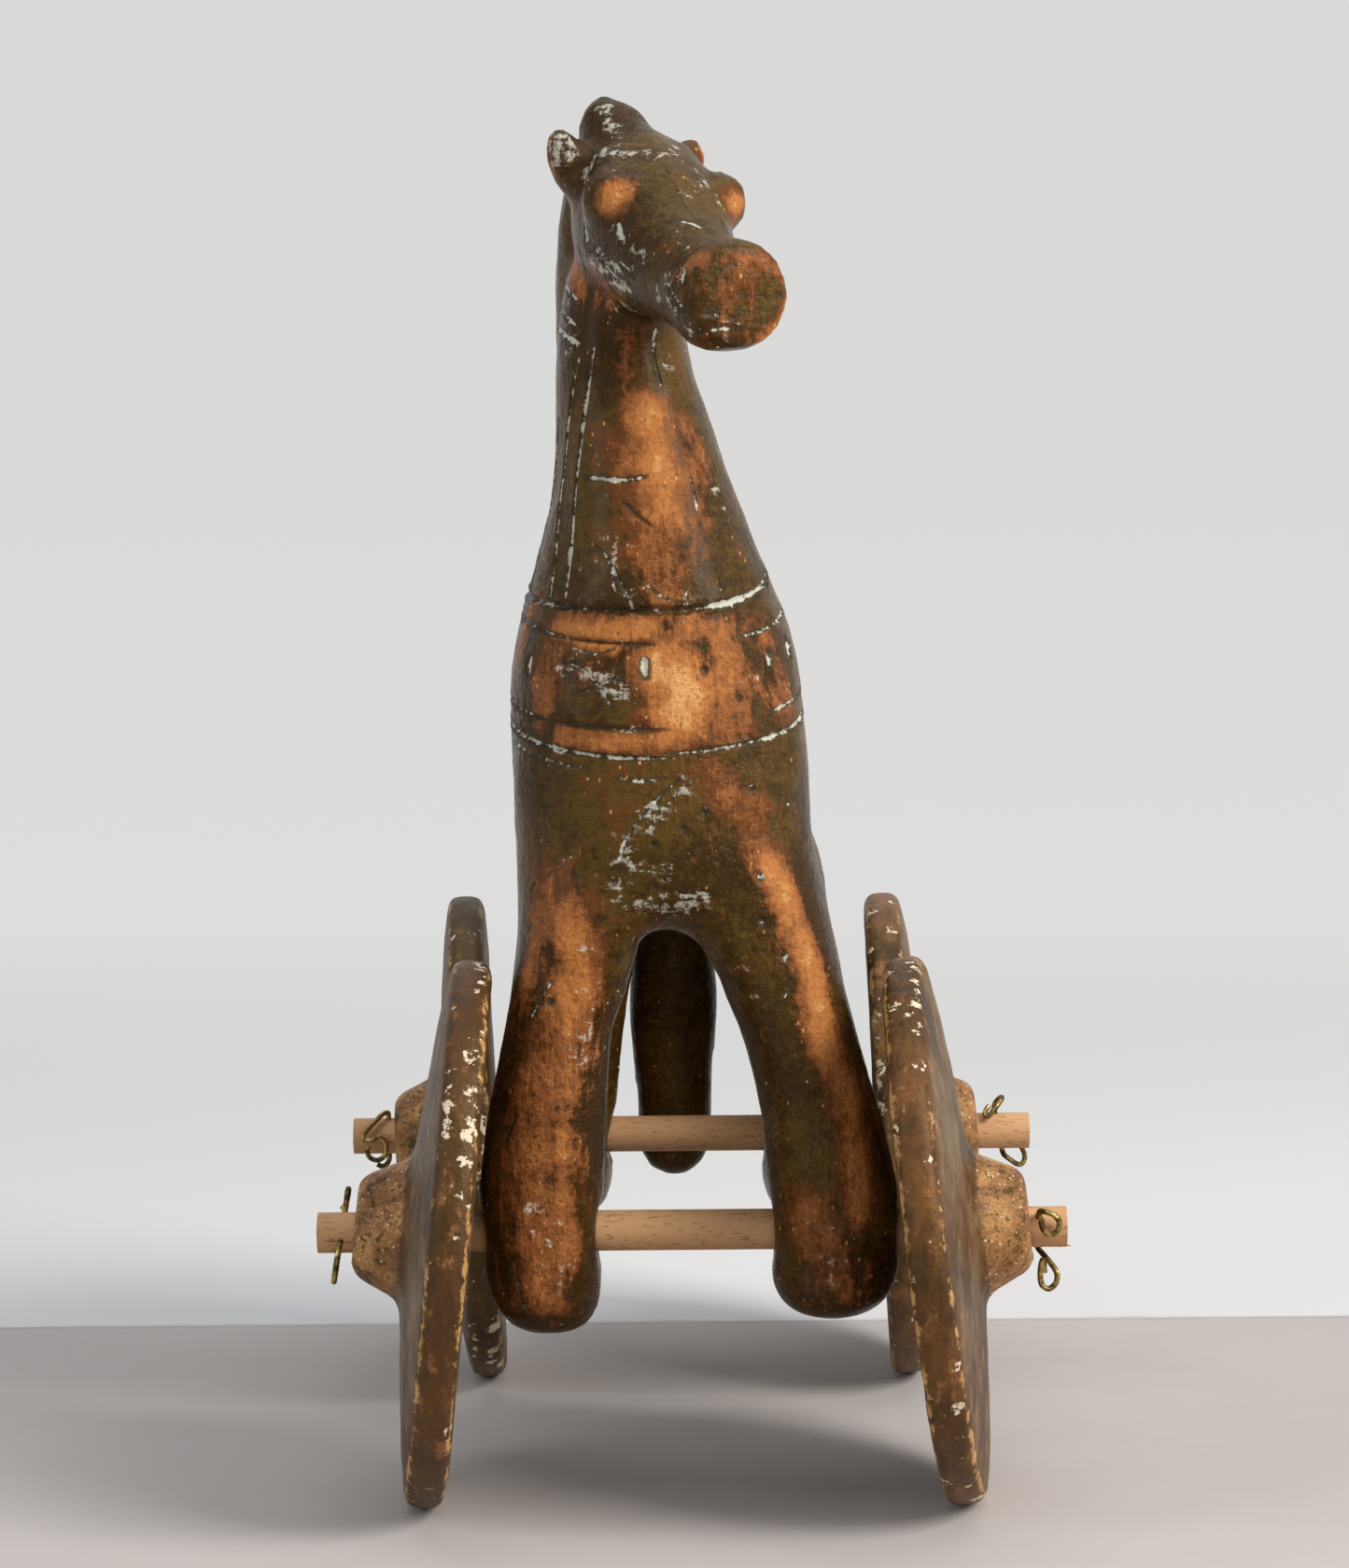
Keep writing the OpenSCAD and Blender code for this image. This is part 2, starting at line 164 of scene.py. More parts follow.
class Finish:
    """A material that is built up from nodes around one Principled shader."""

    def __init__(self, name, constants):
        self.material = bpy.data.materials.new(name)
        self.material.use_nodes = True
        self.tree = self.material.node_tree
        self.tree.nodes.clear()
        self.shader = self.tree.nodes.new("ShaderNodeBsdfPrincipled")
        output = self.tree.nodes.new("ShaderNodeOutputMaterial")
        self.tree.links.new(self.shader.outputs[0], output.inputs["Surface"])
        for key, value in constants.items():
            self.shader.inputs[key].default_value = value
        self.place = self.node("ShaderNodeTexCoord").outputs["Object"]

    def plug(self, socket, value):
        if isinstance(value, Mask):
            value = value.socket
        if isinstance(value, bpy.types.NodeSocket):
            self.tree.links.new(value, socket)
        elif socket.type == "RGBA" and len(value) == 3:
            socket.default_value = (*value, 1.0)
        else:
            socket.default_value = value

    def node(self, kind, settings=None, sockets=None):
        made = self.tree.nodes.new(kind)
        for key, value in (settings or {}).items():
            setattr(made, key, value)
        for key, value in (sockets or {}).items():
            self.plug(made.inputs[key], value)
        return made

    def number(self, kind, settings=None, sockets=None, out=0):
        return Mask(self, self.node(kind, settings, sockets).outputs[out])

    def painted(self, name):
        """A value that was painted on the piece's points."""
        return self.number("ShaderNodeAttribute", {"attribute_name": name}, out="Fac")

    def spread(self, scale=(1, 1, 1), turn=(0, 0, 0), shift=(0, 0, 0)):
        """Object coordinates, shifted, turned and stretched."""
        sockets = {"Vector": self.place, "Location": shift, "Rotation": turn, "Scale": scale}
        return self.node("ShaderNodeMapping", {"vector_type": "POINT"}, sockets).outputs[0]

    def grain(self, size, detail=3.0, rough=0.55, place=None, bend=0.0):
        """Soft noise with features of about this size in millimetres."""
        sockets = {
            "Vector": place or self.place, "Scale": 1 / (size * MM), "Detail": detail,
            "Roughness": rough, "Distortion": bend,
        }
        return self.number("ShaderNodeTexNoise", None, sockets, out="Fac")

    def cells(self, size, place=None):
        """Distance from the middles of cells of about this size in millimetres."""
        sockets = {"Vector": place or self.place, "Scale": 1 / (size * MM)}
        return self.number("ShaderNodeTexVoronoi", None, sockets, out="Distance")

    def blend(self, factor, under, over):
        settings = {"data_type": "RGBA", "blend_type": "MIX"}
        made = self.node("ShaderNodeMix", settings, {"Factor": factor})
        self.plug(made.inputs[6], under)
        self.plug(made.inputs[7], over)
        return made.outputs[2]

    def relief(self, height, strength, distance):
        """Small bumps, with the distance in millimetres."""
        sockets = {"Height": height, "Strength": strength, "Distance": distance * MM}
        return self.node("ShaderNodeBump", None, sockets).outputs["Normal"]

    def wear(self, **sockets):
        for key, value in sockets.items():
            self.plug(self.shader.inputs[key.replace("_", " ")], value)
        return self.material


# ---------------------------------------------------------------- mesh helpers
def shown(name, bm):
    """A new object that holds the bmesh."""
    mesh = bpy.data.meshes.new(name)
    bm.to_mesh(mesh)
    bm.free()
    piece = bpy.data.objects.new(name, mesh)
    bpy.context.scene.collection.objects.link(piece)
    return piece


def even_skin(bm, name, step):
    """One closed skin of even squares over everything in the bmesh."""
    piece = shown(name, bm)
    remesh = piece.modifiers.new("even skin", "REMESH")
    remesh.mode = "VOXEL"
    remesh.voxel_size = step
    made = bpy.data.meshes.new_from_object(piece.evaluated_get(bpy.context.evaluated_depsgraph_get()))
    skin = bmesh.new()
    skin.from_mesh(made)
    old = piece.data
    bpy.data.objects.remove(piece)
    bpy.data.meshes.remove(old)
    bpy.data.meshes.remove(made)
    return skin


def node_copy(name):
    """A merged copy of a CAD node's mesh."""
    bm = bmesh.new()
    bm.from_mesh(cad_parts[name].data)
    bmesh.ops.remove_doubles(bm, verts=bm.verts, dist=2e-6)
    return bm


def clear_bores(bm):
    """Keeps a skin off the two dowels, which run along X."""
    for name in DOWELS:
        low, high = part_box(name)
        middle, radius = (low + high) / 2, (high.z - low.z) / 2 + BORE_PLAY
        for vert in bm.verts:
            out = Vector((0, vert.co.y - middle.y, vert.co.z - middle.z))
            if 0 < out.length < radius:
                vert.co += out.normalized() * (radius - out.length)


def relax(bm, verts, rounds):
    """Smooths the points, half way to their neighbours' middle in each round."""
    for _ in range(rounds):
        bmesh.ops.smooth_vert(
            bm, verts=verts, factor=0.5, use_axis_x=True, use_axis_y=True, use_axis_z=True
        )


def bevel_profile(t):
    return t * t * (3 - 2 * t)


def near(value, reach):
    """1 at no distance, 0 from reach on, smooth between."""
    return bevel_profile(max(0.0, 1 - value / reach))


def dense(points, step=0.4 * MM):
    """Points a step apart on a smooth line through the given ones."""
    out = []
    last = len(points) - 1
    for i in range(last):
        a, b = points[max(i - 1, 0)], points[i]
        c, d = points[i + 1], points[min(i + 2, last)]
        count = max(1, int((c - b).length / step))
        for k in range(count):
            f = k / count
            out.append(
                0.5 * (2 * b + (c - a) * f + (2 * a - 5 * b + 4 * c - d) * f * f
                       + (3 * b - 3 * c + d - a) * f * f * f)
            )
    out.append(points[last])
    return out


class Marks:
    """Lines and spots on a skin: each point has a half width, a depth and a paleness."""

    def __init__(self, bm):
        bm.normal_update()
        self.tree = BVHTree.FromBMesh(bm)
        self.points = []

    def on_skin(self, point):
        return self.tree.find_nearest(point)[0]

    def line(self, points, width, depth, pale=1.0, taper=True):
        spots = dense([self.on_skin(Vector(p) * MM) for p in points])
        last = max(1, len(spots) - 1)
        for i, spot in enumerate(spots):
            end = min(i, last - i) / last
            thin = min(1.0, 0.45 + 3.5 * end) if taper else 1.0
            self.points.append((self.on_skin(spot), width * thin, depth * thin, pale))

    def around(self, centre, heights, rises, start, stop, width, depth, pale=1.0):
        """A line round the chest: angles in degrees from straight ahead, heights and rises in millimetres."""
        points = []
        for k in range(33):
            turn = math.radians(start + (stop - start) * k / 32)
            rise = rises[0] if turn < 0 else rises[1]
            height = heights + rise * (1 - math.cos(turn))
            out = Vector((math.sin(turn), -math.cos(turn), 0))
            origin = Vector((centre[0], centre[1], height)) * MM + out * 0.06
            hit = self.tree.ray_cast(origin, -out)[0]
            if hit is not None:
                points.append(hit / MM)
        self.line(points, width, depth, pale)

    def spot(self, point, radius, depth, pale=1.0):
        self.points.append((self.on_skin(Vector(point) * MM), radius, depth, pale))

    def finder(self):
        tree = kdtree.KDTree(len(self.points))
        for i, mark in enumerate(self.points):
            tree.insert(mark[0], i)
        tree.balance()
        return tree


def cut_marks(bm, marks):
    """Makes the skin finer along the marks, presses them in and paints their pale filling."""
    tree = marks.finder()
    band = FINE_BAND
    for _ in range(FINE_ROUNDS):
        close = set()
        for vert in bm.verts:
            co, index, gap = tree.find(vert.co)
            if gap < band + marks.points[index][1] * 0.5:
                close.add(vert)
        edges = [e for e in bm.edges if e.verts[0] in close and e.verts[1] in close]
        bmesh.ops.subdivide_edges(bm, edges=edges, cuts=1, use_grid_fill=True, smooth=0.0)
        band *= FINE_SHRINK
    bm.normal_update()
    pale = bm.verts.layers.float.new("pale")
    moves = []
    for vert in bm.verts:
        press, film, lip = 0.0, 0.0, 0.0
        for co, index, gap in tree.find_range(vert.co, 3.2 * MM):
            point, width, depth, chalk = marks.points[index]
            press = max(press, depth * near(gap, width * 1.35))
            film = max(film, chalk * near(gap, width * 1.7))
            lip = max(lip, 0.22 * depth * near(abs(gap - width * 1.5), width * 0.8))
        if press or lip:
            moves.append((vert, vert.normal * (max(0.0, lip - press * 2) - press)))
        vert[pale] = film
    for vert, move in moves:
        vert.co += move


def paint(bm, name, strokes):
    """Paints a value on the points: strokes are (points, radius, strength) in millimetres."""
    layer = bm.verts.layers.float.new(name)
    skin = BVHTree.FromBMesh(bm)
    spots = []
    for points, radius, strength in strokes:
        line = [skin.find_nearest(Vector(p) * MM)[0] for p in points]
        for spot in dense(line, 2 * MM) if len(line) > 1 else line:
            spots.append((spot, radius * MM, strength))
    tree = kdtree.KDTree(len(spots))
    for i, spot in enumerate(spots):
        tree.insert(spot[0], i)
    tree.balance()
    reach = max(spot[1] for spot in spots)
    for vert in bm.verts:
        value = 0.0
        for co, index, gap in tree.find_range(vert.co, reach):
            point, radius, strength = spots[index]
            value = max(value, strength * near(gap, radius))
        vert[layer] = value
    return layer


def finish_piece(bm, name, body, material, replaced=()):
    for face in bm.faces:
        face.smooth = True
    piece = shown(name, bm)
    piece.data.materials.append(material)
    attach(piece, body)
    if replaced:
        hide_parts(*replaced)
    return piece


def coat_nodes(names, material):
    """Gives CAD nodes that keep their own mesh a material."""
    for name in names:
        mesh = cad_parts[name].data
        mesh.materials.clear()
        mesh.materials.append(material)


# ---------------------------------------------------------------- horse
CHEST = (-6.5, -50)
HARNESS = (
    # height ahead, rise left and right, first and last angle, width and depth against the usual, paleness
    (176.6, (3.2, 7.4), -100, -30, 1.7, 1.9, 0.42),
    (176.6, (3.2, 7.4), -30, 24, 2.0, 2.2, 0.30),
    (176.6, (3.2, 7.4), 20, 100, 1.25, 1.6, 1.3),
    (170.2, (6.2, 5.5), -100, -34, 1.1, 1.1, 0.60),
    (170.2, (6.2, 5.5), -38, 2, 1.3, 1.3, 0.35),
    (170.0, (6.2, 6.2), 36, 100, 0.8, 0.9, 0.9),
    (153.8, (6.2, 7.6), -100, -40, 1.0, 1.1, 0.75),
    (153.8, (6.2, 7.6), -42, 6, 1.4, 1.4, 0.35),
    (154.0, (6.2, 7.6), 48, 100, 0.8, 0.8, 0.95),
    (148.3, (7.6, 8.9), -100, 8, 1.0, 1.3, 0.92),
    (149.2, (7.6, 8.0), 4, 100, 0.9, 1.1, 0.9),
    (145.4, (8.4, 8.0), -70, -20, 0.7, 0.5, 0.6),
)
MANE_LINES = (
    ((-17.5, -64.9, 227.5), (-18.7, -65, 220.7), (-19.8, -64.8, 213.5), (-21, -64.8, 204.4),
     (-22.2, -66.1, 193.6), (-23.7, -69.3, 179.2)),
    ((-20.5, -63, 225.3), (-22, -61.8, 219), (-23.2, -60.6, 209.9), (-24.5, -60.1, 199),
     (-26, -62.7, 188.1), (-27.1, -65.7, 179.1)),
    ((-25.6, -56, 214), (-26.6, -53, 200), (-28.4, -52, 188), (-30, -55, 179.5)),
)
NECK_NICKS = (
    ((-24.6, -48, 241), (-23, -56, 239), (-20.6, -61, 236.6)),
    ((-25, -46, 236.4), (-23.5, -55, 234.6), (-21, -61, 232)),
    ((-25, -50, 232), (-23, -58, 230), (-20.2, -62.7, 228.2)),
)
LOOSE_LINES = (
    # points, width and depth against the usual, paleness
    (((-5.5, -63.5, 231.1), (-5.6, -64.6, 225.1), (-4.2, -65.2, 219.5)), 0.8, 0.7, 0.8),
    (((-19.5, -66, 202.4), (-13, -70.5, 201.8), (-7, -71, 202.6)), 0.8, 0.7, 1.0),
    (((-12.6, -72, 198), (-9.2, -73, 195.0), (-6.4, -73.5, 193.0)), 0.9, 0.9, 0.3),
    (((-15, -73, 186), (-12.6, -74.5, 182), (-10.4, -75, 178.5)), 0.9, 0.6, 0.8),
    (((-19, -72, 190), (-15, -73, 186.4), (-13.6, -74, 180)), 0.7, 0.5, 0.7),
    (((-8, -75, 182), (-4, -75, 179), (1, -75, 178)), 0.7, 0.5, 0.5),
    (((2.2, -69, 203), (2.8, -69.4, 199.4), (3.2, -70, 196)), 0.7, 0.6, 0.9),
    (((5.5, -66, 206), (8.5, -66, 199), (11.5, -65, 191)), 0.5, 0.4, 0.4),
    (((-0.1, -78.1, 145.5), (-3, -78.3, 143.1), (-6.6, -78.4, 139.8), (-10.3, -77.9, 135.3),
      (-12.5, -77.3, 131.7), (-13.4, -76.7, 128), (-14.4, -75.8, 123.4)), 0.9, 0.5, 0.75),
    (((1.5, -78.1, 144.5), (-3, -78.3, 140.5), (-8, -77.9, 134.3)), 0.6, 0.4, 0.7),
    (((-14, -77, 144.6), (-9, -78, 144), (-3.6, -78.3, 144.6)), 0.8, 0.4, 0.6),
    (((-24.6, -72, 167), (-20.4, -74, 165.5), (-17, -76, 162), (-14.6, -76.5, 158.4)), 0.9, 0.8, 0.9),
    (((-20.5, -73, 160.5), (-16, -75.5, 162.6), (-12.6, -76.5, 164.6)), 0.8, 0.6, 0.9),
    (((-22, -73, 169.4), (-17.5, -75, 168.4), (-13.6, -76.5, 169.6)), 0.6, 0.5, 0.8),
    (((-12.6, -76, 166.8), (-12.2, -76.4, 161.5)), 0.7, 0.5, 0.7),
    (((5.9, -87.9, 248.1), (2.4, -85.5, 250.9), (-1.1, -79.8, 256.5), (-4.5, -73, 263)), 0.5, 0.4, 0.5),
    (((6.6, -89.5, 248.6), (2.0, -87, 249.4), (-2.0, -84, 249.6)), 0.5, 0.4, 0.9),
    (((-11.5, -80, 243.4), (-8.2, -84, 240.6)), 0.9, 0.7, 1.0),
    (((-16, -72, 247), (-13.6, -76, 242), (-10.6, -79, 239.6)), 0.9, 0.5, 0.85),
    (((-10.4, -78, 250), (-8.8, -80, 246.4)), 1.3, 0.5, 1.0),
    (((-3.6, -99, 238.4), (-1.4, -103, 235.6), (0.4, -105, 233.4)), 1.5, 1.1, 0.95),
    (((3.6, -106.2, 232.4), (6.6, -106.6, 232.2)), 1.1, 0.4, 0.9),
    (((5.0, -106, 229.6), (8.6, -106.6, 229.6)), 1.2, 0.4, 0.85),
    (((5.6, -105.6, 239.6), (8.4, -105.6, 241.4), (10.6, -105, 241.4)), 0.8, 0.4, 0.5),
    (((0.4, -104.6, 240.4), (0.0, -104.8, 238)), 1.3, 0.5, 0.7),
)
MOUTH_SIDE = ((19.2, -99.5, 236.8), (20.6, -97.5, 235.4), (19.6, -94, 233.6))
BAND_DOTS = ((-31.2, -64.7, 167.3), (-8.2, -76.9, 166.8), (16.8, -66.7, 168.2), (20.4, -58, 169.6))
PINHOLES = (
    (-6.7, -77.9, 131.7), (3.2, -77.6, 137.9), (13.9, -74.9, 124.9), (14.4, -75.4, 116.4), (12.3, -74.4, 142.4),
    (-0.9, -78, 134.7), (3.5, -75.8, 165.2), (18, -72, 109), (-27, -74, 101), (11, -75, 160),
)
WORN = (
    # rubbed places: points, radius, strength
    (((-5, -77, 166), (1, -77, 163), (-2, -77, 157)), 10, 1.25),
    (((8, -75, 172), (2, -77, 174)), 8, 0.7),
    (((8, -75, 169), (9, -75, 162), (8, -75, 155)), 10, 0.72),
    (((18, -72, 176), (12, -75, 168), (20, -70, 160)), 8, 0.4),
    (((-25, -70, 173.4), (-18, -74, 172.8), (-8, -76.5, 173.2)), 5.5, 0.95),
    (((-24, -73, 152.5), (-14, -76, 151.5), (-2, -77, 152)), 4.5, 0.8),
    (((-32, -62, 178), (-34, -58, 168), (-34.6, -56, 158)), 6, 0.5),
    (((-26, -70, 168), (-28, -70, 158)), 8, 0.5),
    (((-20, -74, 164),), 6, 0.45),
    (((-20, -74, 171), (-14, -76, 169.6)), 3, 0.9),
    (((17, -68, 172), (19, -64, 158)), 6, 0.48),
    (((-7.8, -68, 215), (-6, -69.5, 209), (-4.4, -70.6, 204)), 9, 0.95),
    (((-9, -69, 206), (-6, -71, 202), (-3, -73, 195)), 11, 0.66),
    (((3, -70, 206), (4, -70, 196), (3, -73, 188)), 9, 0.45),
    (((-8, -73, 194), (-5, -74, 186), (-2, -75, 180)), 11, 0.5),
    (((-12, -68, 224), (-9, -66, 230)), 7, 0.42),
    (((3, -67, 214), (6, -66, 206)), 5, 0.5),
    (((5, -77, 144), (12, -76, 137), (15, -75, 130)), 8, 0.52),
    (((-24, -75, 117), (-22, -75, 108), (-24, -75, 97)), 10, 0.85),
    (((-31, -72, 126), (-26, -75, 122), (-20, -76, 119)), 8, 0.5),
    (((-30, -72, 118), (-32, -70, 100)), 7, 0.62),
    (((-25, -75, 95), (-28, -75.5, 80), (-30, -76, 66), (-29, -75, 46)), 15, 0.60),
    (((-24, -75, 88), (-25, -76, 70), (-24, -76, 52)), 6, 0.72),
    (((-38, -66, 100), (-40, -64, 76), (-41, -64, 50)), 8, 0.5),
    (((16, -73, 127), (20, -72.5, 117), (24, -73, 104), (27, -74, 92)), 7, 0.98),
    (((27, -74, 92), (31, -74, 82), (33, -75, 70), (33, -76, 60)), 7, 0.86),
    (((23, -76, 60), (26, -76, 50), (30, -75, 44)), 10, 0.5),
    (((33, -68, 84), (36, -66, 64)), 6, 0.55),
    (((-13, -78, 255.6),), 6.6, 1.1),
    (((11.4, -68.4, 254.6),), 5.8, 1.0),
    (((-22.5, -58, 254), (-23.6, -55, 246), (-21, -62, 239)), 6, 0.62),
    (((-16, -70, 242), (-12, -76, 238)), 5, 0.5),
    (((-1, -104.6, 241), (3, -105.6, 243)), 5, 0.62),
    (((8, -105.6, 242), (14, -103, 242), (18, -100, 239)), 4.4, 0.62),
    (((20.5, -98, 235), (19.6, -99, 230), (15, -102, 226)), 3.8, 0.95),
    (((2, -105, 236), (10, -104, 237), (8, -104, 230)), 8, 0.36),
    (((-14, -66, 244), (-18, -62, 238), (-12, -74, 236)), 7, 0.36),
    (((5, -49, 265.5), (6, -49, 261)), 4.6, 1.0),
    (((-27.4, -60, 268), (-27.6, -60, 262)), 4.4, 0.6),
    (((-6, 4, 167), (-6, 40, 168), (-4, 66, 167)), 16, 0.72),
    (((26, 10, 150), (24, 40, 150)), 11, 0.6),
    (((-24, 0, 146), (-26, 44, 146)), 12, 0.62),
    (((-30, 50, 80), (-34, 52, 60)), 10, 0.7),
    (((34, 60, 84), (38, 60, 60)), 9, 0.7),
    (((0, 84, 130), (-4, 85, 90)), 6, 0.55),
    (((-14, -21, 214), (-9, -17, 190)), 6, 0.7),
    (((22, -40, 160), (18, -34, 184)), 8, 0.55),
)
HAZE = (
    # chalky smears left by brushing: points, radius, strength
    (((-0.1, -78, 144), (-6, -78.4, 138), (-11, -77.9, 131), (-14, -76, 123)), 6, 0.75),
    (((-10, -74, 121), (-4.5, -75, 119.4), (2, -75, 121)), 6, 0.85),
    (((-12, -77, 132), (-4, -78, 126)), 7, 0.6),
    (((-23, -66, 268), (-18, -68, 266), (-13, -70, 266)), 5.5, 1.0),
    (((-20, -66, 262), (-18.6, -70, 256), (-18, -70, 248)), 3.4, 0.95),
    (((-14, -74, 246), (-11, -78, 243), (-7, -82, 243)), 4.2, 0.9),
    (((-11, -66, 262), (-5, -72, 264), (0, -68, 266)), 5, 0.7),
    (((2, -82, 258), (5, -76, 262)), 4.4, 0.7),
    (((-4, -98, 241), (-5, -92, 236)), 4, 0.8),
    (((-26, -60, 268), (-24, -62, 264)), 5, 1.1),
    (((-16, -60, 276), (-14, -64, 272)), 5, 0.85),
    (((-14, -80, 250), (-10, -84, 247), (-8, -88, 243)), 3, 0.8),
    (((-17, -70, 244), (-12, -76, 240), (-7, -82, 238)), 3.4, 1.0),
    (((4, -74, 266), (8, -74, 262), (12, -76, 258)), 3.4, 0.85),
    (((-2, -104, 228), (4, -106, 227), (9, -105, 230)), 3.4, 0.8),
    (((-2, -100, 236), (0, -104, 232)), 3, 0.9),
    (((-12, -72, 232), (-6, -76, 232)), 5, 0.6),
    (((-24, -56, 238), (-22, -60, 228)), 5.5, 0.6),
    (((-10, -62, 228), (-2, -63, 226)), 6, 0.55),
    (((8, -66, 206), (11, -64, 196)), 4.6, 0.6),
    (((-14, -73, 190), (-12, -75, 180)), 7, 0.62),
    (((-25, -72, 166), (-18, -74, 164), (-13, -76, 161)), 7, 0.8),
    (((14, -72, 164),), 4, 0.6),
    (((-20, -74, 112), (-19, -75, 100), (-21, -75, 90)), 6, 0.55),
    (((-30, -76, 60), (-24, -76, 46)), 7, 0.6),
    (((8, -74, 112), (14, -74, 100)), 6, 0.4),
    (((24, -76, 60), (28, -76, 46)), 6, 0.5),
    (((-6, 50, 168),), 14, 0.5),
    (((-26, 20, 148),), 14, 0.5),
)
PUSHES = (
    # middle of the zone, its half sizes, shift: rounds the front arch, eases the rear left leg outwards
    ((-7.3, -60, 111.8), (7, 60, 5), (-2.6, 0, 0.4)),
    ((-14.3, -60, 101), (8, 60, 9), (2.0, 0, 0)),
    ((0.9, -60, 111.8), (7, 60, 5.5), (3.3, 0, 0.5)),
    ((4.8, -60, 106), (7, 60, 7), (1.5, 0, 0)),
    ((-3.3, -60, 115), (7, 60, 4), (0, 0, 0.9)),
    ((-10.5, 38, 78), (11, 29, 36), (-7.5, 0, 0)),
)
# the tail is made wider about its middle and its tip lower, in millimetres
TAIL_TOP, TAIL_BACK, TAIL_MIDDLE, TAIL_REACH = 100, 70, -4, 11
TAIL_SWELL, TIP_DROP, TIP_HEIGHT, TIP_REACH = 0.2, 1.3, 42, 14
HEAD_FROM, FEET_TO = 0.224, 0.036  # heights between which the body is smoothed most
BODY_ROUNDS, HEAD_ROUNDS = 14, 3
DOT_LENGTH = 2.2
PINHOLE_RADIUS, PINHOLE_DEPTH = 0.75 * MM, 0.6 * MM
STRAY_SPOTS, STRAY_SCRATCHES = 150, 110
GROOVE_DARK = (0.045, 0.035, 0.018)


def horse_finish(settings):
    made = Finish("horse_clay", {
        "Specular IOR Level": 0.2, "Specular Tint": (1.0, 0.8, 0.5, 1.0), "Coat Roughness": 0.16,
    })
    broad = made.grain(34, 2.0, 0.5)
    patch = made.grain(8, 5.0, 0.62)
    blotch = made.grain(3.4, 4.0, 0.66)
    fine = made.grain(1.3, 4.0, 0.7)
    brushed = made.grain(1.7, 4.0, 0.66, made.spread((1.0, 1.0, 0.17), (0.12, 0.34, 0.0)))
    across = made.grain(1.6, 3.0, 0.62, made.spread((0.3, 0.3, 1.0), (0.35, -0.55, 0.3)), bend=0.6)
    speck = made.grain(0.8, 2.0, 0.5)
    worn = made.painted("worn")
    pale = made.painted("pale")
    haze = made.painted("haze")
    # dark skin: olive bloom over deep brown, torn at every size
    bloom = (broad * 0.9 + blotch * 0.6 + fine * 0.4 + across * 0.3).step(0.98, 1.28)
    skin = made.blend(bloom * 0.85, settings.patina, settings.olive)
    skin = made.blend((blotch * 0.5 + brushed * 0.5).step(0.50, 0.62) * 0.6, skin, settings.patina)
    # fired red showing through in streaks, even on the dark parts
    glow = (brushed * 0.5 + patch * 0.5 + (worn * 0.3)).step(0.55, 0.70)
    skin = made.blend(glow * 0.55, skin, settings.russet)
    # rubbed back in stages, in torn patches and brush strokes
    rub = (
        worn * 1.08 + (patch - 0.5) * 1.15 + (blotch - 0.5) * 0.75 + (fine - 0.5) * 0.75
        + (brushed - 0.5) * 0.8 + (across - 0.5) * 0.2
    )
    base = made.blend((rub + (broad - 0.5) * 0.9).step(0.17, 0.40) * 0.9, skin, settings.russet)
    base = made.blend(rub.step(0.36, 0.60), base, settings.brown)
    base = made.blend(rub.step(0.60, 0.92) * 0.95, base, settings.clay)
    base = made.blend(rub.step(1.00, 1.36) * 0.8, base, settings.ochre)
    # thin bright scratches through the skin, and dark pores in the clay
    scratch = (brushed + fine * 0.3).step(0.79, 0.86) * (worn * 0.9 + 0.35)
    base = made.blend(scratch * 0.9, base, settings.clay)
    pores = (speck * 0.6 + blotch * 0.4).step(0.56, 0.66) * rub.step(0.3, 0.6)
    base = made.blend(pores * 0.6, base, settings.patina)
    # grooves are dark, with chalk only where it was not brushed out; smears of it and stray flecks
    base = made.blend(pale.step(0.02, 0.3) * 0.75, base, GROOVE_DARK)
    lines = (pale * 0.8 + (fine - 0.5) * 2.0 + (blotch - 0.5) * 2.0 + (patch - 0.5) * 1.1).step(0.52, 0.70)
    lines = lines * pale.step(0.03, 0.2)
    smear = haze * 0.62 + (across - 0.5) * 1.5 + (fine - 0.5) * 1.1
    smear = smear + (brushed - 0.5) * 1.1 + (blotch - 0.5) * 0.8
    smear = smear.step(0.46, 0.74) * haze.step(0.02, 0.3)
    flecks = made.cells(2.9).step(0.13, 0.06) * patch.step(0.55, 0.66)
    chalk = lines.most(smear * 0.75).most(flecks * 0.85)
    base = made.blend(chalk * 0.9, base, settings.deposit)
    ochre_flecks = made.cells(1.9, made.spread((1, 1, 0.6), shift=(0.02, 0.01, 0))).step(0.17, 0.08)
    base = made.blend(ochre_flecks * patch.step(0.5, 0.6) * (1 - chalk) * 0.8, base, settings.ochre)
    height = (
        patch * 0.55 + blotch * 0.55 + fine * 0.3 + brushed * 0.3 + across * 0.16 - scratch * 0.2 + chalk * 0.06
    )
    return made.wear(
        Base_Color=base, Roughness=0.24 + rub.step(0.4, 0.9) * 0.15 + (blotch - 0.5) * 0.4 + chalk * 0.3,
        Coat_Weight=(1 - rub.step(0.2, 0.7)) * 0.06, Normal=made.relief(height, 1.0, 1.25),
    )


HEAD_TURN = math.radians(22)
AHEAD = Vector((math.sin(HEAD_TURN), -math.cos(HEAD_TURN), 0))
ASIDE = Vector((math.cos(HEAD_TURN), math.sin(HEAD_TURN), 0))
POLL = Vector((-11, -52, 0))


def on_head(ahead, aside, height):
    return POLL + AHEAD * ahead + ASIDE * aside + Vector((0, 0, height))


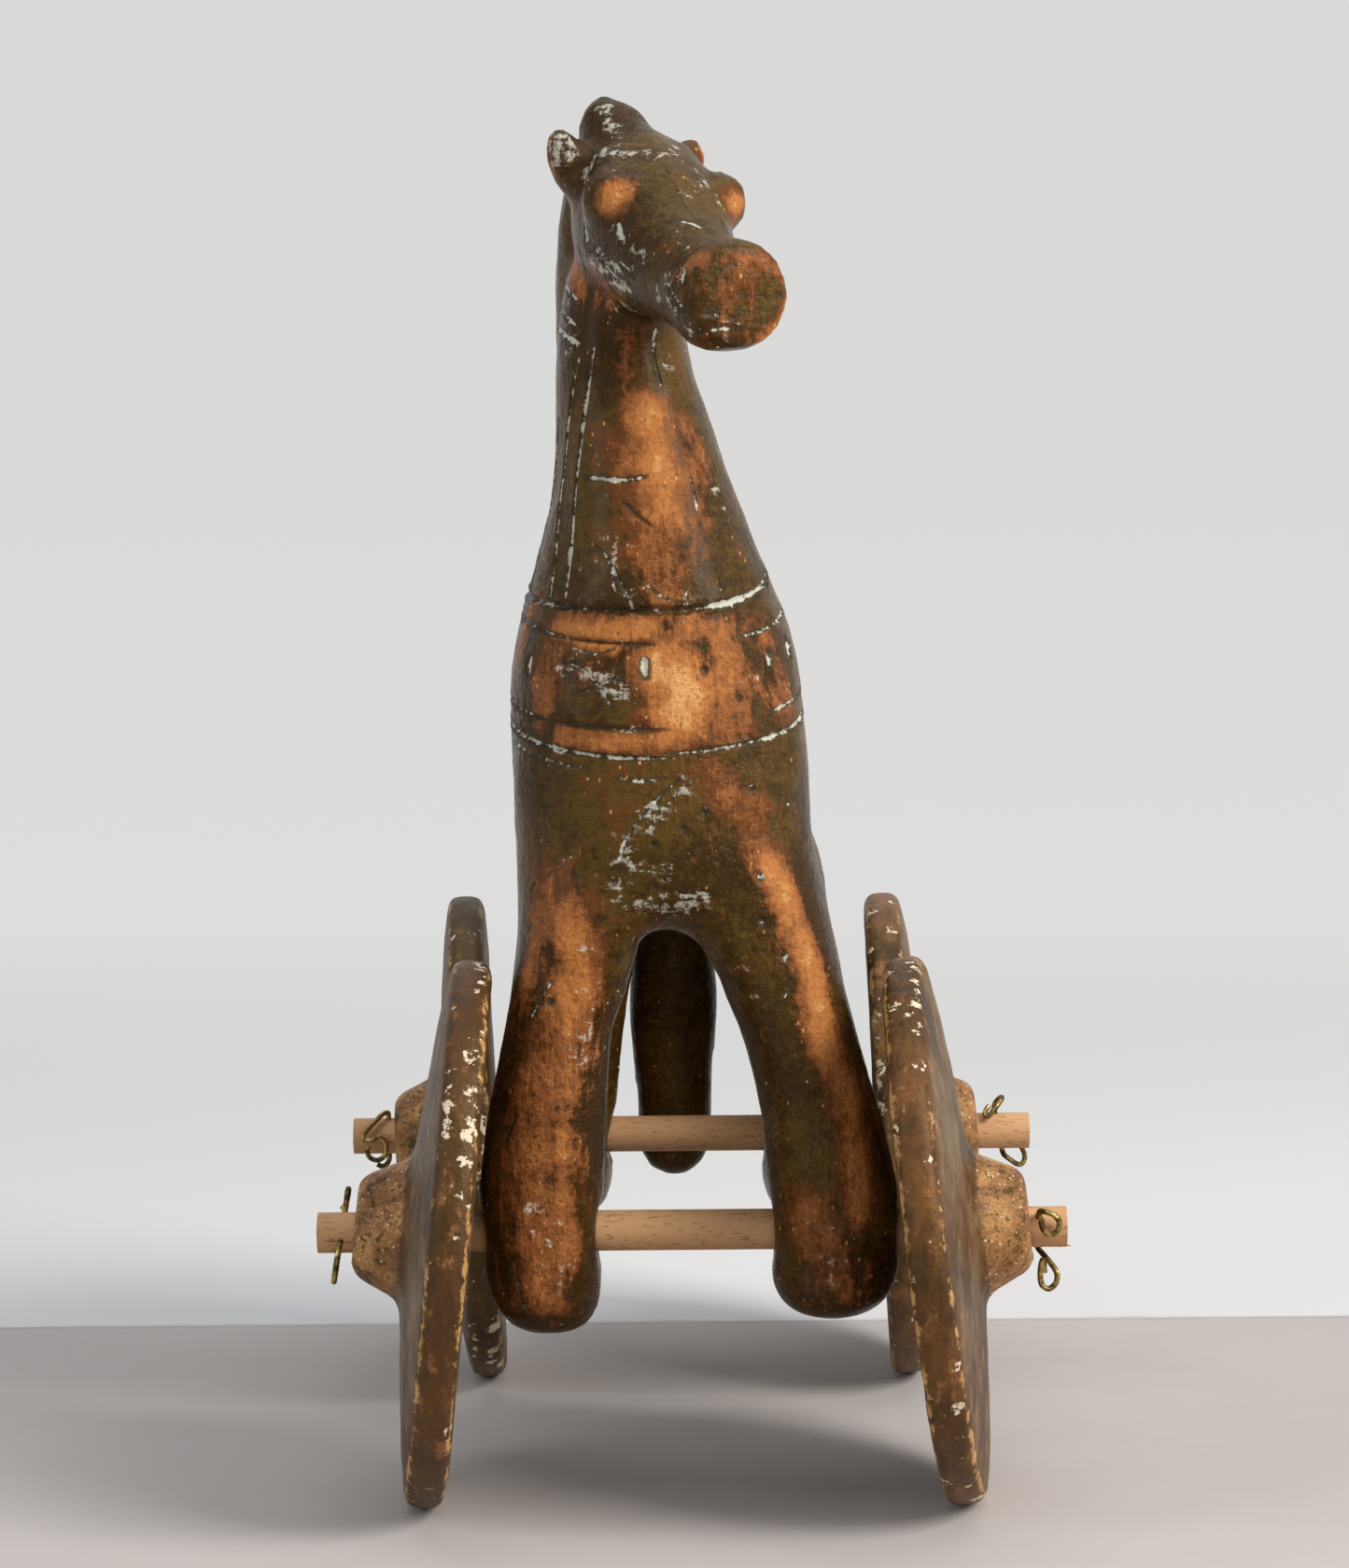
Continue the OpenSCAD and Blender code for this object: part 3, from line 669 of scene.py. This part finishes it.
class HORSE_OT_body(bpy.types.Operator):
    """Sculpt the fired-clay body: an even skin, incised lines, pits and rubbed places"""

    bl_idname = "horse_on_wheels.body"
    bl_label = "Clay body"

    def execute(self, context):
        settings = context.scene.horse_body
        draw = random.Random(7)
        bm = node_copy("horse")
        self.head_forms(bm)
        bm = even_skin(bm, "horse_form", settings.skin_step)
        self.pushes(bm)
        hard = [v for v in bm.verts if v.co.z > HEAD_FROM]
        soft = [v for v in bm.verts if FEET_TO < v.co.z <= HEAD_FROM]
        relax(bm, soft, BODY_ROUNDS)
        relax(bm, hard, HEAD_ROUNDS)
        relax(bm, bm.verts, 1)
        marks = Marks(bm)
        w, d = settings.line_width, settings.line_depth
        for height, rises, start, stop, wide, deep, chalk in HARNESS:
            marks.around(CHEST, height, rises, start, stop, w * wide, d * deep, chalk)
        for line in MANE_LINES:
            marks.line(line, w * 0.9, d * 1.0, 1.15)
        for line in NECK_NICKS:
            marks.line(line, w * 1.0, d * 0.8, 1.1)
        for line, wide, deep, chalk in LOOSE_LINES:
            marks.line(line, w * wide, d * deep, chalk)
        self.muzzle_lines(marks, w, d)
        for spot in BAND_DOTS:
            marks.line((spot, (spot[0], spot[1], spot[2] - DOT_LENGTH)), w * 1.9, d * 1.1, 1.1, taper=False)
        for spot in PINHOLES:
            marks.spot(spot, PINHOLE_RADIUS, PINHOLE_DEPTH, 0.8)
        self.strays(marks, bm, draw)
        cut_marks(bm, marks)
        self.lumps(bm)
        clear_bores(bm)
        paint(bm, "worn", WORN)
        paint(bm, "haze", HAZE)
        finish_piece(bm, "horse_body", "horse", horse_finish(settings), ["horse"])
        return {"FINISHED"}

    def head_forms(self, bm):
        """Bulging eyes, face ridge, forelock, brows and the flat muzzle, run into the head by the skin."""
        turn = Matrix.Rotation(HEAD_TURN, 4, "Z")
        forms = (
            # ahead, aside, height, half sizes aside, ahead and up, pitch
            (17.5, -10.6, 255.6, (5.6, 6.4, 6.4), 0),
            (17.5, 12.4, 255.2, (5.4, 5.8, 6.0), 0),
            (17, -0.4, 260.6, (4.2, 19, 6.0), -34),
            (31, 0.4, 248.4, (4.6, 15, 5.0), -27),
            (-1.4, -3.6, 268.6, (5.6, 6.6, 8.8), 12),
            (12, 6.0, 264.2, (3.6, 5.4, 3.2), -20),
            (12, -7.6, 263.2, (3.6, 5.4, 3.2), -20),
        )
        for ahead, aside, height, half, pitch in forms:
            made = bmesh.ops.create_icosphere(bm, subdivisions=3, radius=1)
            size = Matrix.Diagonal((*[h * MM for h in half], 1))
            tip = Matrix.Rotation(math.radians(-pitch), 4, "X")
            place = Matrix.Translation(on_head(ahead, aside, height) * MM)
            bmesh.ops.transform(bm, matrix=place @ turn @ tip @ size, verts=made["verts"])
        made = bmesh.ops.create_cone(
            bm, segments=40, radius1=10.6 * MM, radius2=10.0 * MM, depth=6 * MM, cap_ends=True
        )
        place = Matrix.Translation(on_head(53.8, 0.3, 236.2) * MM)
        bmesh.ops.transform(
            bm, matrix=place @ turn @ Matrix.Rotation(math.radians(90), 4, "X"), verts=made["verts"]
        )

    def pushes(self, bm):
        """Moves zones of the skin, then shapes the tail."""
        for middle, half, shift in PUSHES:
            middle, shift = Vector(middle) * MM, Vector(shift) * MM
            for vert in bm.verts:
                gap = vert.co - middle
                reach = math.sqrt(sum((gap[i] / (half[i] * MM)) ** 2 for i in range(3)))
                if reach < 1 and vert.co.y * middle.y > 0:
                    vert.co += shift * near(reach, 1)
        for vert in bm.verts:
            x, y, z = vert.co / MM
            if y > TAIL_BACK and z < TAIL_TOP and abs(x - TAIL_MIDDLE) < TAIL_REACH:
                swell = bevel_profile(min(1.0, (TAIL_TOP - z) / 22))
                swell *= bevel_profile(min(1.0, (y - TAIL_BACK) / 3))
                vert.co.x += (x - TAIL_MIDDLE) * TAIL_SWELL * swell * MM
                vert.co.z -= TIP_DROP * near(z - TIP_HEIGHT, TIP_REACH) * MM

    def muzzle_lines(self, marks, w, d):
        for reach, height, first, last in ((44.6, 236.8, 20, 215), (51.2, 236.2, 95, 205)):
            points = []
            for k in range(17):
                turn = math.radians(first + (last - first) * k / 16)
                points.append(on_head(reach, math.cos(turn) * 11, height + math.sin(turn) * 11))
            marks.line(points, w * 1.1, d * 1.0, 0.72)
        marks.line(MOUTH_SIDE, w * 1.2, d * 2.0, 0.2)

    def strays(self, marks, bm, draw):
        """Random scratches and pits over the whole skin, from a fixed seed."""
        verts = list(bm.verts)
        for _ in range(STRAY_SPOTS):
            vert = verts[draw.randrange(len(verts))]
            radius, depth = draw.uniform(0.3, 0.7) * MM, draw.uniform(0.15, 0.45) * MM
            marks.spot(vert.co / MM, radius, depth, draw.choice((0, 0.7, 0.9)))
        for _ in range(STRAY_SCRATCHES):
            vert = verts[draw.randrange(len(verts))]
            across = vert.normal.cross(Vector((draw.uniform(-1, 1), draw.uniform(-1, 1), 2))).normalized()
            along = vert.normal.cross(across)
            start = vert.co / MM
            end = start + along * draw.uniform(2, 9) + across * draw.uniform(-3, 3)
            marks.line((start, (start + end) / 2, end), 0.35 * MM, 0.24 * MM, draw.choice((0, 0.5, 0.8)))

    def lumps(self, bm):
        """The slight unevenness of hand-worked clay."""
        bm.normal_update()
        for vert in bm.verts:
            p = vert.co
            swell = noise.noise(p * 45) * 0.42 + noise.noise(p * 120) * 0.2 + noise.noise(p * 400) * 0.07
            vert.co = p + vert.normal * swell * MM


# ---------------------------------------------------------------- wheels
# tints of the thin patina, one per wheel, which differ a little in hue; the two right-hand wheels' tints are
# also lighter, painted light for the lamp that lights that side
WHEEL_TINTS_AND_PAINTED_LIGHT = ((0.100, 0.042, 0.012), (0.155, 0.062, 0.018), (0.100, 0.058, 0.020), (0.200, 0.100, 0.040))
RIM_FROM = 0.0515  # points further out than this are the rim's
CHIPS, CHIP_CLUSTERS, CHIP_RADIUS = 190, 9, 53.4 * MM
FACE_EDGE, FACE_FADE = 0.0512, 0.0016
HUB_EDGE, HUB_FADE, HUB_FROM = 0.0155, 0.002, 0.004
CORNER_OUT, CORNER_ALONG, CORNER_REACH = 0.0530, 0.0042, 0.0024


def wheel_finish(settings, name, tint):
    made = Finish(name, {"Specular IOR Level": 0.4, "Specular Tint": (1.0, 0.78, 0.5, 1.0)})
    broad = made.grain(22, 3.0, 0.55)
    patch = made.grain(6, 5.0, 0.65)
    blotch = made.grain(2.6, 4.0, 0.66)
    fine = made.grain(1.1, 3.0, 0.66)
    streak = made.grain(2.6, 4.0, 0.64, made.spread((1.0, 0.3, 0.3), (0.4, 0, 0)))
    face = made.painted("face")
    hub = made.painted("hub")
    flake = made.painted("flake")
    edge = made.painted("edge")
    mix = (patch - 0.5) * 1.2 + (blotch - 0.5) * 1.0 + (fine - 0.5) * 0.6
    thin = (broad - 0.5) * 1.6 + (streak - 0.5) * 1.2 + mix * 0.6 + 0.55
    # the patina thins towards the wheel's tint, which on the right-hand wheels carries painted light
    base = made.blend(thin.step(0.1, 1.0), settings.patina, tint)
    film = face * ((streak - 0.5) * 2.0 + (broad - 0.5) * 1.2 + mix * 0.6 + 0.5).step(0.30, 0.95)
    base = made.blend(film * 0.75, base, settings.film)
    base = made.blend((mix * 0.8 + (streak - 0.5) * 1.4 + 0.5).step(0.62, 0.90) * 0.6, base, settings.clay)
    rubbed = edge * 0.75 + mix * 1.1
    base = made.blend(rubbed.step(0.40, 0.72) * 0.85, base, settings.rim)
    base = made.blend((hub + mix * 1.4).step(0.65, 1.0) * 0.9, base, settings.clay)
    base = made.blend((hub + mix * 1.8).step(1.0, 1.3) * 0.8, base, settings.rim)
    base = made.blend(hub * (fine * 0.5 + blotch * 0.5).step(0.50, 0.60) * 0.85, base, settings.patina)
    chips = (flake * 0.7 + (fine - 0.5) * 1.8 + (blotch - 0.5) * 1.8).step(0.46, 0.62) * flake.step(0.02, 0.2)
    where = blotch * 0.5 + patch * 0.5 + hub * 0.16 + edge * 0.1
    specks = made.cells(1.6).step(0.2, 0.1) * where.step(0.56, 0.62)
    chips = chips.most(specks)
    base = made.blend(chips * 0.92, base, settings.flake)
    height = patch * 0.5 + blotch * 0.45 + fine * 0.25 + streak * 0.25 + chips * 0.1
    return made.wear(
        Base_Color=base, Roughness=0.5 + (blotch - 0.5) * 0.35 + chips * 0.15,
        Normal=made.relief(height, 0.9, 0.8),
    )


class HORSE_OT_wheels(bpy.types.Operator):
    """Shape the four clay wheels: uneven discs with chipped rims and rough hubs"""

    bl_idname = "horse_on_wheels.wheels"
    bl_label = "Clay wheels"

    def execute(self, context):
        settings = context.scene.horse_wheels
        # each wheel gets its tint; the right-hand wheels' lighter tints are painted light
        for number, (name, tint) in enumerate(zip(WHEELS, WHEEL_TINTS_AND_PAINTED_LIGHT)):
            draw = random.Random(20 + number)
            low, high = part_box(name)
            middle = (low + high) / 2
            side = -1 if middle.x < 0 else 1
            bm = even_skin(node_copy(name), name + "_form", settings.skin_step)
            relax(bm, bm.verts, 2)
            axis, hub_at = self.own_axis(bm, middle)
            self.uneven(bm, number)
            self.chip_rim(bm, axis, hub_at, draw, settings.chip)
            self.mark_faces(bm, axis, hub_at, side)
            clear_bores(bm)
            clay = wheel_finish(settings, name + "_clay", tint)
            finish_piece(bm, name + "_clay", name, clay, [name])
        return {"FINISHED"}

    def own_axis(self, bm, middle):
        """The disc's own axis: the normal of the plane through its rim."""
        flat_middle = Vector((0, middle.y, middle.z))
        rim = [v.co for v in bm.verts if (Vector((0, v.co.y, v.co.z)) - flat_middle).length > RIM_FROM]
        centre = sum(rim, Vector()) / len(rim)
        sums = [
            [sum((p[i] - centre[i]) * (p[j] - centre[j]) for p in rim) for j in range(3)]
            for i in range(3)
        ]
        # x = a*y + b*z through the rim's points
        det = sums[1][1] * sums[2][2] - sums[1][2] ** 2
        a = (sums[0][1] * sums[2][2] - sums[0][2] * sums[1][2]) / det
        b = (sums[0][2] * sums[1][1] - sums[0][1] * sums[1][2]) / det
        return Vector((1, -a, -b)).normalized(), centre

    def uneven(self, bm, number):
        """The unevenness of a disc shaped by hand, different on each wheel."""
        bm.normal_update()
        for vert in bm.verts:
            p = vert.co + Vector((0.3 * number, 0.1 * number, 0))
            swell = noise.noise(p * 60) * 0.26 + noise.noise(p * 190) * 0.12
            vert.co += vert.normal * swell * MM

    def chip_rim(self, bm, axis, centre, draw, radius):
        """Small scallops along both edges of the rim."""
        layer = bm.verts.layers.float.new("flake")
        first = axis.cross(Vector((0, 0, 1))).normalized()
        second = axis.cross(first)
        tree = kdtree.KDTree(len(bm.verts))
        bm.verts.ensure_lookup_table()
        for i, vert in enumerate(bm.verts):
            tree.insert(vert.co, i)
        tree.balance()
        clusters = [draw.uniform(0, math.tau) for _ in range(CHIP_CLUSTERS)]
        for _ in range(CHIPS):
            if draw.random() < 0.7:
                turn = draw.gauss(draw.choice(clusters), 0.13)
            else:
                turn = draw.uniform(0, math.tau)
            edge = draw.choice((-1, 1, 1, 0.4)) * draw.uniform(2.0, 4.4) * MM
            spot = centre + (first * math.cos(turn) + second * math.sin(turn)) * CHIP_RADIUS + axis * edge
            size = radius * draw.uniform(0.2, 0.85)
            depth = size * draw.uniform(0.12, 0.3)
            pale = draw.choice((0.55, 0.8, 1.0, 1.0))
            for co, index, gap in tree.find_range(spot, size * 1.6):
                vert = bm.verts[index]
                inward = (centre - vert.co).normalized()
                vert.co += inward * depth * near(gap, size * 1.1)
                vert[layer] = max(vert[layer], pale * near(abs(gap - size * 0.55), size * 0.75))

    def mark_faces(self, bm, axis, centre, side):
        """Paints the flat faces, the hub and the rim's two corners."""
        face_layer = bm.verts.layers.float.new("face")
        hub_layer = bm.verts.layers.float.new("hub")
        edge_layer = bm.verts.layers.float.new("edge")
        for vert in bm.verts:
            arm = vert.co - centre
            along = arm.dot(axis)
            out = (arm - axis * along).length
            vert[face_layer] = bevel_profile(min(1.0, max(0.0, (FACE_EDGE - out) / FACE_FADE)))
            on_hub = bevel_profile(min(1.0, max(0.0, (HUB_EDGE - out) / HUB_FADE)))
            vert[hub_layer] = on_hub * (along * side > HUB_FROM)
            corner = math.hypot(out - CORNER_OUT, abs(along) - CORNER_ALONG)
            vert[edge_layer] = near(corner, CORNER_REACH)


# ---------------------------------------------------------------- dowels
BEECH_BROAD, BEECH_PALE, BEECH_PORE = (0.47, 0.25, 0.115), (0.62, 0.37, 0.20), (0.16, 0.07, 0.03)


def dowel_finish(settings):
    made = Finish("beech_dowel", {"Specular IOR Level": 0.4})
    along = made.spread((0.10, 1.0, 1.0))
    grain = made.grain(1.3, 4.0, 0.6, along)
    broad = made.grain(14, 2.0, 0.5, made.spread((0.3, 1.0, 1.0)))
    rays = made.grain(0.55, 2.0, 0.5, made.spread((0.22, 1.0, 1.0)))
    base = made.blend(broad.step(0.4, 0.65) * 0.45, settings.beech, BEECH_BROAD)
    base = made.blend(grain.step(0.5, 0.72) * 0.35, base, BEECH_PALE)
    base = made.blend(rays.step(0.60, 0.70) * 0.75, base, settings.fleck)
    pores = made.grain(0.35, 1.0, 0.5, along).step(0.64, 0.72)
    base = made.blend(pores * 0.5, base, BEECH_PORE)
    height = grain * 0.5 + rays * 0.3 - pores * 0.3
    return made.wear(
        Base_Color=base, Roughness=0.62 + (grain - 0.5) * 0.2, Normal=made.relief(height, 0.5, 0.25)
    )


class HORSE_OT_dowels(bpy.types.Operator):
    """Give the two wooden dowels their grain and a torn fibre at the sawn end"""

    bl_idname = "horse_on_wheels.dowels"
    bl_label = "Dowel axles"

    def execute(self, context):
        settings = context.scene.horse_dowels
        wood = dowel_finish(settings)
        coat_nodes(DOWELS, wood)
        self.splinter(settings, wood)
        return {"FINISHED"}

    def splinter(self, settings, wood):
        """A torn fibre that stands out of the front dowel's right end."""
        low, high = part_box("front_axle")
        middle = (low + high) / 2
        bm = bmesh.new()
        bmesh.ops.create_cone(
            bm, segments=8, radius1=0.62 * MM, radius2=0.12 * MM, depth=settings.splinter, cap_ends=True
        )
        sides = [e for e in bm.edges if abs(e.verts[0].co.z - e.verts[1].co.z) > 1e-4]
        bmesh.ops.subdivide_edges(bm, edges=sides, cuts=4)
        for vert in bm.verts:
            lift = (vert.co.z / settings.splinter + 0.5) ** 2
            vert.co.x += lift * 0.35 * MM + noise.noise(vert.co * 900) * 0.1 * MM
        place = Matrix.Translation((high.x - 0.4 * MM, middle.y - 1.6 * MM, low.z + 0.75 * MM))
        bmesh.ops.transform(bm, matrix=place @ Matrix.Rotation(math.radians(90), 4, "Y"), verts=bm.verts)
        bmesh.ops.recalc_face_normals(bm, faces=bm.faces)
        finish_piece(bm, "front_dowel_splinter", "front_axle", wood)


# ---------------------------------------------------------------- wire pins
def wire_finish(settings):
    made = Finish("aged_brass_wire", {"Metallic": 1.0})
    patch = made.grain(2.6, 4.0, 0.65)
    fine = made.grain(0.5, 3.0, 0.6)
    dull = (patch * 0.75 + fine * 0.25).step(0.40, 0.60)
    base = made.blend(dull, settings.brass, settings.tarnish)
    return made.wear(Base_Color=base, Roughness=0.30 + dull * 0.28, Normal=made.relief(fine, 0.35, 0.08))


class HORSE_OT_pins(bpy.types.Operator):
    """Give the four bent wire pins their aged brass"""

    bl_idname = "horse_on_wheels.pins"
    bl_label = "Wire pins"

    def execute(self, context):
        coat_nodes(PINS, wire_finish(context.scene.horse_wire))
        return {"FINISHED"}


# ---------------------------------------------------------------- stage
GROUND_HALF, COVE_FROM, COVE_STEPS, COVE_STEP, WALL_RISE = 6, 5.9, 12, 0.4, 6
ROOM_COLOUR, ROOM_STRENGTH = (0.86, 0.89, 0.95, 1), 0.34
LAMP_TARGET = Vector((0, 0, 0.12))
EYE_AT = (0.00038, -0.929, 0.2064)
EYE_PITCH, EYE_YAW, EYE_ROLL = 4.235, -0.199, -0.531  # degrees
LAMPS = (
    # name, place, width and height, power, tint
    ("window", (1.1, -0.75, 0.95), (0.7, 0.8), 26, (1.0, 0.97, 0.93)),
    ("left_fill", (-1.3, -0.8, 0.7), (0.5, 1.0), 6.5, (0.93, 0.96, 1.0)),
    ("overhead", (0.1, 0.1, 1.7), (1.6, 1.6), 10, (0.97, 0.98, 1.0)),
)


def stage_finish(settings):
    made = Finish("pale_ground", {"Roughness": 0.9, "Specular IOR Level": 0.1, "Emission Strength": 0.94})
    split = made.node("ShaderNodeSeparateXYZ", None, {"Vector": made.place})
    back = Mask(made, split.outputs["Y"])
    wall = back.step(settings.edge - 0.0006, settings.edge + 0.0006)
    cloudy = made.grain(90, 4.0, 0.6).step(0.35, 0.7)
    base = made.blend(cloudy * 0.35, settings.floor, settings.dust)
    base = made.blend(made.grain(2.0, 4.0, 0.6).step(0.6, 0.75) * 0.12, base, (0.25, 0.22, 0.20))
    # a thin, wavering darker line along the edge where the floor colour meets the wall colour
    edge_darkening = abs(back - settings.edge + (made.grain(14, 3.0) - 0.5) * 0.006).step(0.0028, 0.0)
    # the far ground keeps its paleness where the lamps fall off
    far = back.step(settings.edge, 1.1)
    base = made.blend(wall, base, settings.wall)
    base = made.blend(far, base, (0.05, 0.05, 0.05))
    base = made.blend(edge_darkening * 0.3, base, (0.25, 0.23, 0.22))
    glow = made.blend(far, (0.0, 0.0, 0.0), settings.wall)
    return made.wear(Base_Color=base, Emission_Color=glow)


class HORSE_OT_stage(bpy.types.Operator):
    """Lay the pale ground, set the soft lights and place the camera"""

    bl_idname = "horse_on_wheels.stage"
    bl_label = "Ground, lights and camera"

    def execute(self, context):
        settings = context.scene.horse_stage
        self.ground(settings)
        self.lights(context)
        self.camera(context, settings)
        return {"FINISHED"}

    def ground(self, settings):
        """A flat ground that curves up far behind the horse."""
        bm = bmesh.new()
        bmesh.ops.create_grid(bm, x_segments=2, y_segments=2, size=GROUND_HALF)
        cove = [e for e in bm.edges if all(v.co.y > COVE_FROM for v in e.verts)]
        for k in range(COVE_STEPS):
            made = bmesh.ops.extrude_edge_only(bm, edges=cove)
            verts = [g for g in made["geom"] if isinstance(g, bmesh.types.BMVert)]
            turn = math.radians(90 * (k + 0.5) / COVE_STEPS)
            bmesh.ops.translate(bm, verts=verts, vec=Vector((0, math.cos(turn), math.sin(turn))) * COVE_STEP)
            cove = [g for g in made["geom"] if isinstance(g, bmesh.types.BMEdge)]
        made = bmesh.ops.extrude_edge_only(bm, edges=cove)
        verts = [g for g in made["geom"] if isinstance(g, bmesh.types.BMVert)]
        bmesh.ops.translate(bm, verts=verts, vec=(0, 0, WALL_RISE))
        for face in bm.faces:
            face.smooth = True
        ground = shown("ground", bm)
        ground.data.materials.append(stage_finish(settings))

    def lights(self, context):
        world = bpy.data.worlds.new("soft_room")
        world.use_nodes = True
        room = world.node_tree.nodes["Background"]
        room.inputs["Color"].default_value = ROOM_COLOUR
        room.inputs["Strength"].default_value = ROOM_STRENGTH
        context.scene.world = world
        for name, where, size, power, tint in LAMPS:
            lamp = bpy.data.lights.new(name, "AREA")
            lamp.shape = "RECTANGLE"
            lamp.size, lamp.size_y = size
            lamp.energy = power
            lamp.color = tint
            holder = bpy.data.objects.new(name, lamp)
            aim = LAMP_TARGET - Vector(where)
            holder.location = where
            holder.rotation_euler = aim.to_track_quat("-Z", "Y").to_euler()
            context.scene.collection.objects.link(holder)

    def camera(self, context, settings):
        eye = bpy.data.cameras.new("front_view")
        eye.lens = settings.lens
        eye.sensor_width = 36
        eye.clip_end = 50
        holder = bpy.data.objects.new("front_view", eye)
        pitch, yaw, roll = (math.radians(turn) for turn in (EYE_PITCH, EYE_YAW, EYE_ROLL))
        forward = Vector((math.sin(yaw) * math.cos(pitch), math.cos(yaw) * math.cos(pitch), -math.sin(pitch)))
        right = Vector((math.cos(yaw), -math.sin(yaw), 0))
        upward = right.cross(forward)
        tipped = right * math.cos(roll) + upward * math.sin(roll)
        upright = upward * math.cos(roll) - right * math.sin(roll)
        holder.matrix_world = Matrix((
            (tipped.x, upright.x, -forward.x, EYE_AT[0]),
            (tipped.y, upright.y, -forward.y, EYE_AT[1]),
            (tipped.z, upright.z, -forward.z, EYE_AT[2]),
            (0, 0, 0, 1),
        ))
        context.scene.collection.objects.link(holder)
        context.scene.camera = holder
        context.scene.view_settings.view_transform = "Standard"


class HORSE_PT_panel(bpy.types.Panel):
    """Buttons for the pieces of the horse on wheels"""

    bl_idname = "HORSE_PT_panel"
    bl_label = "Horse on wheels"
    bl_space_type = "VIEW_3D"
    bl_region_type = "UI"
    bl_category = "Horse on wheels"

    def draw(self, context):
        for operator in OPERATORS:
            self.layout.operator(operator.bl_idname)


OPERATORS = (HORSE_OT_body, HORSE_OT_wheels, HORSE_OT_dowels, HORSE_OT_pins, HORSE_OT_stage)
SETTINGS = {
    "horse_body": HorseSettings, "horse_wheels": WheelSettings, "horse_dowels": DowelSettings,
    "horse_wire": WireSettings, "horse_stage": StageSettings,
}
CLASSES = (*SETTINGS.values(), *OPERATORS, HORSE_PT_panel)


def register():
    for each in CLASSES:
        bpy.utils.register_class(each)
    for name, group in SETTINGS.items():
        setattr(bpy.types.Scene, name, bpy.props.PointerProperty(type=group))


def unregister():
    for name in SETTINGS:
        delattr(bpy.types.Scene, name)
    for each in reversed(CLASSES):
        bpy.utils.unregister_class(each)


def main():
    register()
    bpy.ops.horse_on_wheels.stage()
    bpy.ops.horse_on_wheels.body()
    bpy.ops.horse_on_wheels.wheels()
    bpy.ops.horse_on_wheels.dowels()
    bpy.ops.horse_on_wheels.pins()


if __name__ == "__main__":
    main()
